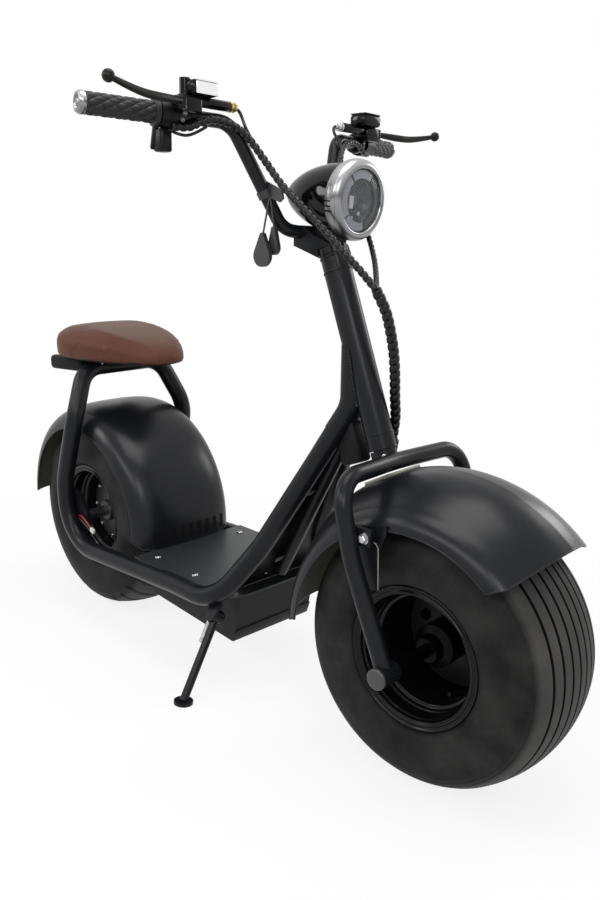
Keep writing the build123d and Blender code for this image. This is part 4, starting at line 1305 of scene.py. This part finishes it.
def make_cables(sizes):
    """Both bundles in spiral wrap, the brake hoses and the throttle's lead."""
    pitch = sizes.wrap_pitch
    main = join((wrapped(MAIN_ROUTE, 4.9, 6.3, pitch), wrapped(TRUNK_ROUTE, 7.6, 9.0, pitch * 1.2)))
    for name, shape in (("main_cable", main), ("side_cable", wrapped(SIDE_ROUTE, 3.6, 4.8, pitch))):
        made = piece(f"{name}_wrapped", *shape, "steering", "cable_wrap", ["cable_wrap"], sharp=60)
        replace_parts(made, name)
    hose = [from_perch(26, 94, 20), from_perch(27, 101, 16), from_perch(32, 103, 4)]
    hose += [(602, -120, 1022), (610, -108, 1000)]
    hoses = both_sides(tube(nurbs_path(hose, 40), 2.6))
    piece("brake_hoses", *hoses, "steering", "cable_wrap", ["cable_wrap"])
    lead = [from_cluster(2, 4, -22), (560, -228, 1008), (572, -208, 1006), (582, -186, 1022)]
    piece("throttle_lead", *tube(nurbs_path(lead, 30), 2.4, 10), "steering", "cable_wrap", ["cable_wrap"])


# Fasteners
NECK_SEAM = (
    (767.6, -20.9, 592.0), (765.2, -22.4, 605.1), (763.0, -23.6, 618.1), (760.6, -24.4, 630.9),
    (758.2, -25.0, 643.8), (755.6, -25.2, 656.7), (752.8, -25.2, 669.4), (749.0, -24.4, 684.0),
)
STAND_PIVOT = Vector((515.0, -133.0, 160.0))
STAND_FOOT = Vector((535.0, -230.0, 22.9))
# The way that the front panel faces
PANEL_OUT = (0.864, 0, -0.504)


def on_axis(height):
    """Point of the steering axis at a height."""
    return STEER_POINT + UP_AXIS * ((height - STEER_POINT.z) / UP_AXIS.z)


def make_neck_details():
    """Weld beads where the neck meets the head tube, and the head tube's rings."""
    seam = smooth_rows(NECK_SEAM, 8)
    blobs = [closed_turn(stepped((-2, 2, 3.4)), spot, (0.3, -1, 0), 2.0, 14) for spot in NECK_SEAM[:5:2]]
    welds = both_sides(join([weld_bead(seam, 2.6)] + blobs))
    piece("neck_welds", *welds, "frame", "frame_paint", ["satin_paint"])
    ring = rounded(((-1.5, 23.5), (-1.5, 25.2), (1.5, 25.2), (1.5, 23.5)), 0.6, 2)
    rings = [lathe(ring, on_axis(height), UP_AXIS, 56) for height in (522, 545, 806, 829)]
    piece("head_tube_rings", *join(rings), "frame", "frame_paint", ["satin_paint"])
    spots = [on_axis(height) + Vector((13, -18, 3)) for height in (503, 512)]
    stem = [dome_bolt(spot, (0.55, -0.8, 0.15), 3.6, 3, 18) for spot in spots]
    piece("stem_bolts", *join(stem), "steering", "frame_paint", ["bright_zinc"])


def make_neck_web():
    """Web under the neck, rib down the panel's middle with its tabs, and the saddle bracket's rear end.

    The web is narrower on the left, where the cable's clip passes at full lock.
    """
    web = box_of((744, -8, 522), (50, 30, 74), (0.93, 0, 0.36), ease=5)
    piece("neck_web", *web, "frame", "frame_paint", ["pan_plastic"])
    rib = tube([(722, -4, 517), (690, -4, 461), (640, -4, 375), (590, -4, 288), (556, -4, 229)], 12.5, 24)
    tabs = [box_of(spot, (7, 30, 13), PANEL_OUT, ease=1.5) for spot in ((664, -24, 420), (577, -24, 268))]
    piece("panel_rib", *join([rib] + tabs), "frame", "case", ["satin_paint"])
    rear_end = box_of((-80, -86, 573), (122, 26, 32), (1, 0.12, 0.03), (-0.12, 1, 0), ease=8)
    piece("saddle_bracket_end", *both_sides(rear_end), "frame", "frame_paint", ["pan_plastic"])


def make_stand_spring():
    """Coil spring along the stand's leg, with its hooks."""
    run = (STAND_FOOT - STAND_PIVOT).normalized()
    side, up = axes_of(run)
    start = STAND_PIVOT + run * 14 + side * 12
    coil = [start + run * (0.22 * k) + (side * cos(k * 0.55) + up * sin(k * 0.55)) * 4.2 for k in range(190)]
    hooks = [start - run * 6 - side * 4] + coil + [coil[-1] + run * 6 - side * 5]
    piece("stand_spring", *tube(hooks, 0.9, 8), "side_stand", "steel", ["bright_zinc"])


def make_hub_leads():
    """Motor leads by the rear axle: a red and a black wire in a white plug."""
    red = [(-2, -131, 229), (22, -140, 243), (48, -142, 236), (70, -141, 222)]
    dark = [(-2, -131, 225), (20, -141, 234), (44, -143, 228), (70, -142, 217)]
    piece("motor_lead_red", *tube(nurbs_path(red, 26), 2.1, 10), "frame", "steel", ["red_wire"])
    piece("motor_lead_black", *tube(nurbs_path(dark, 26), 3.0, 10), "frame", "steel", ["grip_rubber"])
    plug = box_of((77, -141.5, 218), (14, 7, 10), (1, 0, -0.4), ease=1.2)
    piece("motor_plug", *plug, "frame", "steel", ["white_plastic"])


def make_fasteners():
    """Screws, bolts, rivets, axle caps and the case's lower band."""
    screws = [dome_bolt((x, y, 207.0), ABOVE, 6.5, 3.4) for x in (288, 418) for y in (-110, 110)]
    piece("deck_screws", *join(screws), "frame", "steel", ["chrome"])
    bolts = both_sides(hex_bolt((896, -158.2, 425), (0, -1, 0), 7, 6))
    piece("fender_bolts", *bolts, "steering", "steel", ["chrome"])
    # Painted highlight: thin pale tubes along the fender brackets' edges, where they catch light
    edge = [(898, -141.6, 417), (906, -141.6, 415), (911, -141.6, 409), (914, -141.6, 343)]
    piece("bracket_edge_highlights", *both_sides(tube(edge, 0.9, 8)), "steering", "steel", ["fender_strip"])
    cap_rows = ((185.2, CORE), (185.2, 14), (188, 16.5), (192, 16.5), (194, 14.5), (194, CORE))
    cap = closed_turn(cap_rows, FRONT_HUB, (0, -1, 0), 0.8, 40)
    piece("axle_caps", *both_sides(cap), "steering", "frame_paint", ["button_grey"])
    seat_bolts = [dome_bolt((x, y, z), (0, -1, 0), 5, 3) for x, y, z in ((-76, -56, 577), (24, -62, 581))]
    seat_bolts.append(dome_bolt((150, -38, 591.8), (0, 0, -1), 5, 4))
    piece("seat_bolts", *both_sides(join(seat_bolts)), "frame", "steel", ["bright_zinc"])
    band = box_of((524.2, 0, 109.5), (3, 199, 27), (0.93, 0, -0.36), ease=1.0)
    piece("case_band", *band, "frame", "case", ["case_paint"])
    rivets = both_sides(dome_bolt((534.6, -24.7, 222.6), PANEL_OUT, 3.4, 2, 16))
    piece("panel_rivets", *rivets, "frame", "steel", ["bright_zinc"])


# Stage, in metres but for the camera's place
CAMERA_AT = Vector((1729.5, -1049.2, 884.1))
CAMERA_YAW, CAMERA_PITCH, CAMERA_ROLL = radians(136.95), radians(-14.71), radians(-0.05)
FOCAL_PIXELS = 864.5
PHOTO_HEIGHT = 900.0
SENSOR_HEIGHT = 36.0
FLOOR_REACH = 9.0
AMBIENT = 0.42
LAMPS = (
    # name, place, size, watts
    ("overhead", (0.3, -0.2, 2.6), (1.5, 1.1), 24.0),
    ("right_strip", (0.4, -2.5, 1.9), (2.6, 0.4), 26.0),
    ("front_right", (2.0, -1.5, 1.7), (0.6, 0.8), 14.0),
    ("rear_right", (-1.6, -1.9, 1.7), (0.5, 1.1), 16.0),
    ("left", (0.6, 2.4, 1.8), (0.8, 1.0), 16.0),
)
LAMPS_AIM = Vector((0, 0, 0.45))


def make_surroundings():
    """Surroundings that are white where they are seen, and dimmer as a source of light."""
    world = bpy.data.worlds.new("studio")
    bpy.context.scene.world = world
    tree = Tree(world)
    strength = AMBIENT + tree.seen() * (1 - AMBIENT)
    surround = tree.node("Background", None, {"Color": (1, 1, 1, 1), "Strength": strength})
    tree.node("OutputWorld", None, {"Surface": surround})


def finish_floor():
    """White floor that keeps a soft shadow by the wheels and is plain white farther out."""
    made = bpy.data.materials.new("floor_white")
    tree = Tree(made)
    distance = tree.node("VectorMath", {"operation": "LENGTH"}, {0: tree.place()}, 1)
    far = ((distance - 0.75) / 0.9).clamp()
    plain = tree.node("BsdfDiffuse", None, {"Color": (0.92, 0.92, 0.92, 1)})
    white = tree.node("Emission", None, {"Color": (1, 1, 1, 1), "Strength": 1.0})
    both = tree.node("MixShader", None, {0: tree.seen() * (0.84 + far * 0.16), 1: plain, 2: white})
    tree.node("OutputMaterial", None, {"Surface": both})
    return made


def make_ground():
    """Flat floor under the scooter."""
    mesh = bpy.data.meshes.new("floor")
    corners = [(x * FLOOR_REACH, y * FLOOR_REACH, 0) for x, y in ((-1, -1), (1, -1), (1, 1), (-1, 1))]
    mesh.from_pydata(corners, [], [(0, 1, 2, 3)])
    mesh.materials.append(finish_floor())
    ground = bpy.data.objects.new("floor", mesh)
    bpy.context.collection.objects.link(ground)


def make_lamps():
    """Soft lamps turned to the scooter."""
    for name, spot, size, power in LAMPS:
        lamp = bpy.data.lights.new(name, "AREA")
        lamp.shape = "RECTANGLE"
        lamp.size, lamp.size_y = size
        lamp.energy = power
        holder = bpy.data.objects.new(name, lamp)
        holder.location = spot
        holder.rotation_euler = (LAMPS_AIM - Vector(spot)).to_track_quat("-Z", "Y").to_euler()
        bpy.context.collection.objects.link(holder)


def make_camera():
    """Camera at the photograph's place, fitted in the scooter's upright frame."""
    flat = cos(CAMERA_PITCH)
    look = Vector((flat * cos(CAMERA_YAW), flat * sin(CAMERA_YAW), sin(CAMERA_PITCH)))
    level = look.cross(Vector((0, 0, 1))).normalized()
    above = level.cross(look)
    right = level * cos(CAMERA_ROLL) + above * sin(CAMERA_ROLL)
    up = above * cos(CAMERA_ROLL) - level * sin(CAMERA_ROLL)
    turn = Matrix((right, up, -look)).transposed().to_4x4()
    data = bpy.data.cameras.new("camera")
    data.sensor_fit = "VERTICAL"
    data.sensor_height = SENSOR_HEIGHT
    data.lens = FOCAL_PIXELS / PHOTO_HEIGHT * SENSOR_HEIGHT
    data.clip_end = 50.0
    camera = bpy.data.objects.new("camera", data)
    camera.matrix_world = Matrix.Translation(PARKED @ CAMERA_AT) @ Matrix.Rotation(LEAN, 4, "X") @ turn
    bpy.context.collection.objects.link(camera)
    bpy.context.scene.camera = camera


def make_stage():
    """White floor and surroundings, soft lamps and the camera."""
    bpy.context.scene.view_settings.view_transform = "Standard"
    make_surroundings()
    make_ground()
    make_lamps()
    make_camera()


def dress_nodes():
    """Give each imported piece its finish."""
    for name, nodes in NODE_FINISHES.items():
        for node in nodes:
            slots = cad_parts[node].material_slots
            if not slots:
                raise RuntimeError(f"{node} has no material slot")
            for slot in slots:
                slot.material = finishes[name]


class SCOOTER_OT_finishes(bpy.types.Operator):
    """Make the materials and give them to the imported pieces"""

    bl_idname = "scooter.finishes"
    bl_label = "Finishes"

    def execute(self, context):
        finishes.update(make_finishes(context.scene.scooter_colours))
        dress_nodes()
        return {"FINISHED"}


class SCOOTER_OT_wheels(bpy.types.Operator):
    """Add treaded tyres and rolled rims"""

    bl_idname = "scooter.wheels"
    bl_label = "Wheels"

    def execute(self, context):
        make_wheels(context.scene.scooter_sizes)
        return {"FINISHED"}


class SCOOTER_OT_fenders(bpy.types.Operator):
    """Add the smooth fenders"""

    bl_idname = "scooter.fenders"
    bl_label = "Fenders"

    def execute(self, context):
        make_fenders()
        return {"FINISHED"}


class SCOOTER_OT_seat(bpy.types.Operator):
    """Add the padded saddle"""

    bl_idname = "scooter.seat"
    bl_label = "Seat"

    def execute(self, context):
        make_seat(context.scene.scooter_sizes)
        return {"FINISHED"}


class SCOOTER_OT_grips(bpy.types.Operator):
    """Add the quilted grips and bar ends"""

    bl_idname = "scooter.grips"
    bl_label = "Grips"

    def execute(self, context):
        make_grips(context.scene.scooter_sizes)
        return {"FINISHED"}


class SCOOTER_OT_controls(bpy.types.Operator):
    """Add levers, lids and switches"""

    bl_idname = "scooter.controls"
    bl_label = "Controls"

    def execute(self, context):
        make_controls()
        return {"FINISHED"}


class SCOOTER_OT_headlight(bpy.types.Operator):
    """Add the headlight's shell, trim ring and inside"""

    bl_idname = "scooter.headlight"
    bl_label = "Headlight"

    def execute(self, context):
        make_headlight()
        return {"FINISHED"}


class SCOOTER_OT_cables(bpy.types.Operator):
    """Add the wrapped cable bundles and hoses"""

    bl_idname = "scooter.cables"
    bl_label = "Cables"

    def execute(self, context):
        make_cables(context.scene.scooter_sizes)
        return {"FINISHED"}


class SCOOTER_OT_fasteners(bpy.types.Operator):
    """Add screws, bolts, welds, spring and leads"""

    bl_idname = "scooter.fasteners"
    bl_label = "Fasteners"

    def execute(self, context):
        make_fasteners()
        make_neck_details()
        make_neck_web()
        make_stand_spring()
        make_hub_leads()
        return {"FINISHED"}


class SCOOTER_OT_stage(bpy.types.Operator):
    """Add the floor, lamps, surroundings and camera"""

    bl_idname = "scooter.stage"
    bl_label = "Stage"

    def execute(self, context):
        make_stage()
        return {"FINISHED"}


OPERATORS = (
    SCOOTER_OT_finishes,
    SCOOTER_OT_wheels,
    SCOOTER_OT_fenders,
    SCOOTER_OT_seat,
    SCOOTER_OT_grips,
    SCOOTER_OT_controls,
    SCOOTER_OT_headlight,
    SCOOTER_OT_cables,
    SCOOTER_OT_fasteners,
    SCOOTER_OT_stage,
)


class SCOOTER_PT_panel(bpy.types.Panel):
    """Lists the steps that dress the scooter"""

    bl_label = "Scooter"
    bl_idname = "SCOOTER_PT_panel"
    bl_space_type = "VIEW_3D"
    bl_region_type = "UI"
    bl_category = "Scooter"

    def draw(self, context):
        column = self.layout.column()
        for operator in OPERATORS:
            column.operator(operator.bl_idname)


CLASSES = (ScooterSizes, ScooterColours, *OPERATORS, SCOOTER_PT_panel)


def register():
    for item in CLASSES:
        bpy.utils.register_class(item)
    bpy.types.Scene.scooter_sizes = PointerProperty(type=ScooterSizes)
    bpy.types.Scene.scooter_colours = PointerProperty(type=ScooterColours)


def unregister():
    del bpy.types.Scene.scooter_colours
    del bpy.types.Scene.scooter_sizes
    for item in reversed(CLASSES):
        bpy.utils.unregister_class(item)


def main():
    register()
    for operator in OPERATORS:
        getattr(bpy.ops.scooter, operator.bl_idname.removeprefix("scooter."))()
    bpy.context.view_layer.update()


if __name__ == "__main__":
    main()
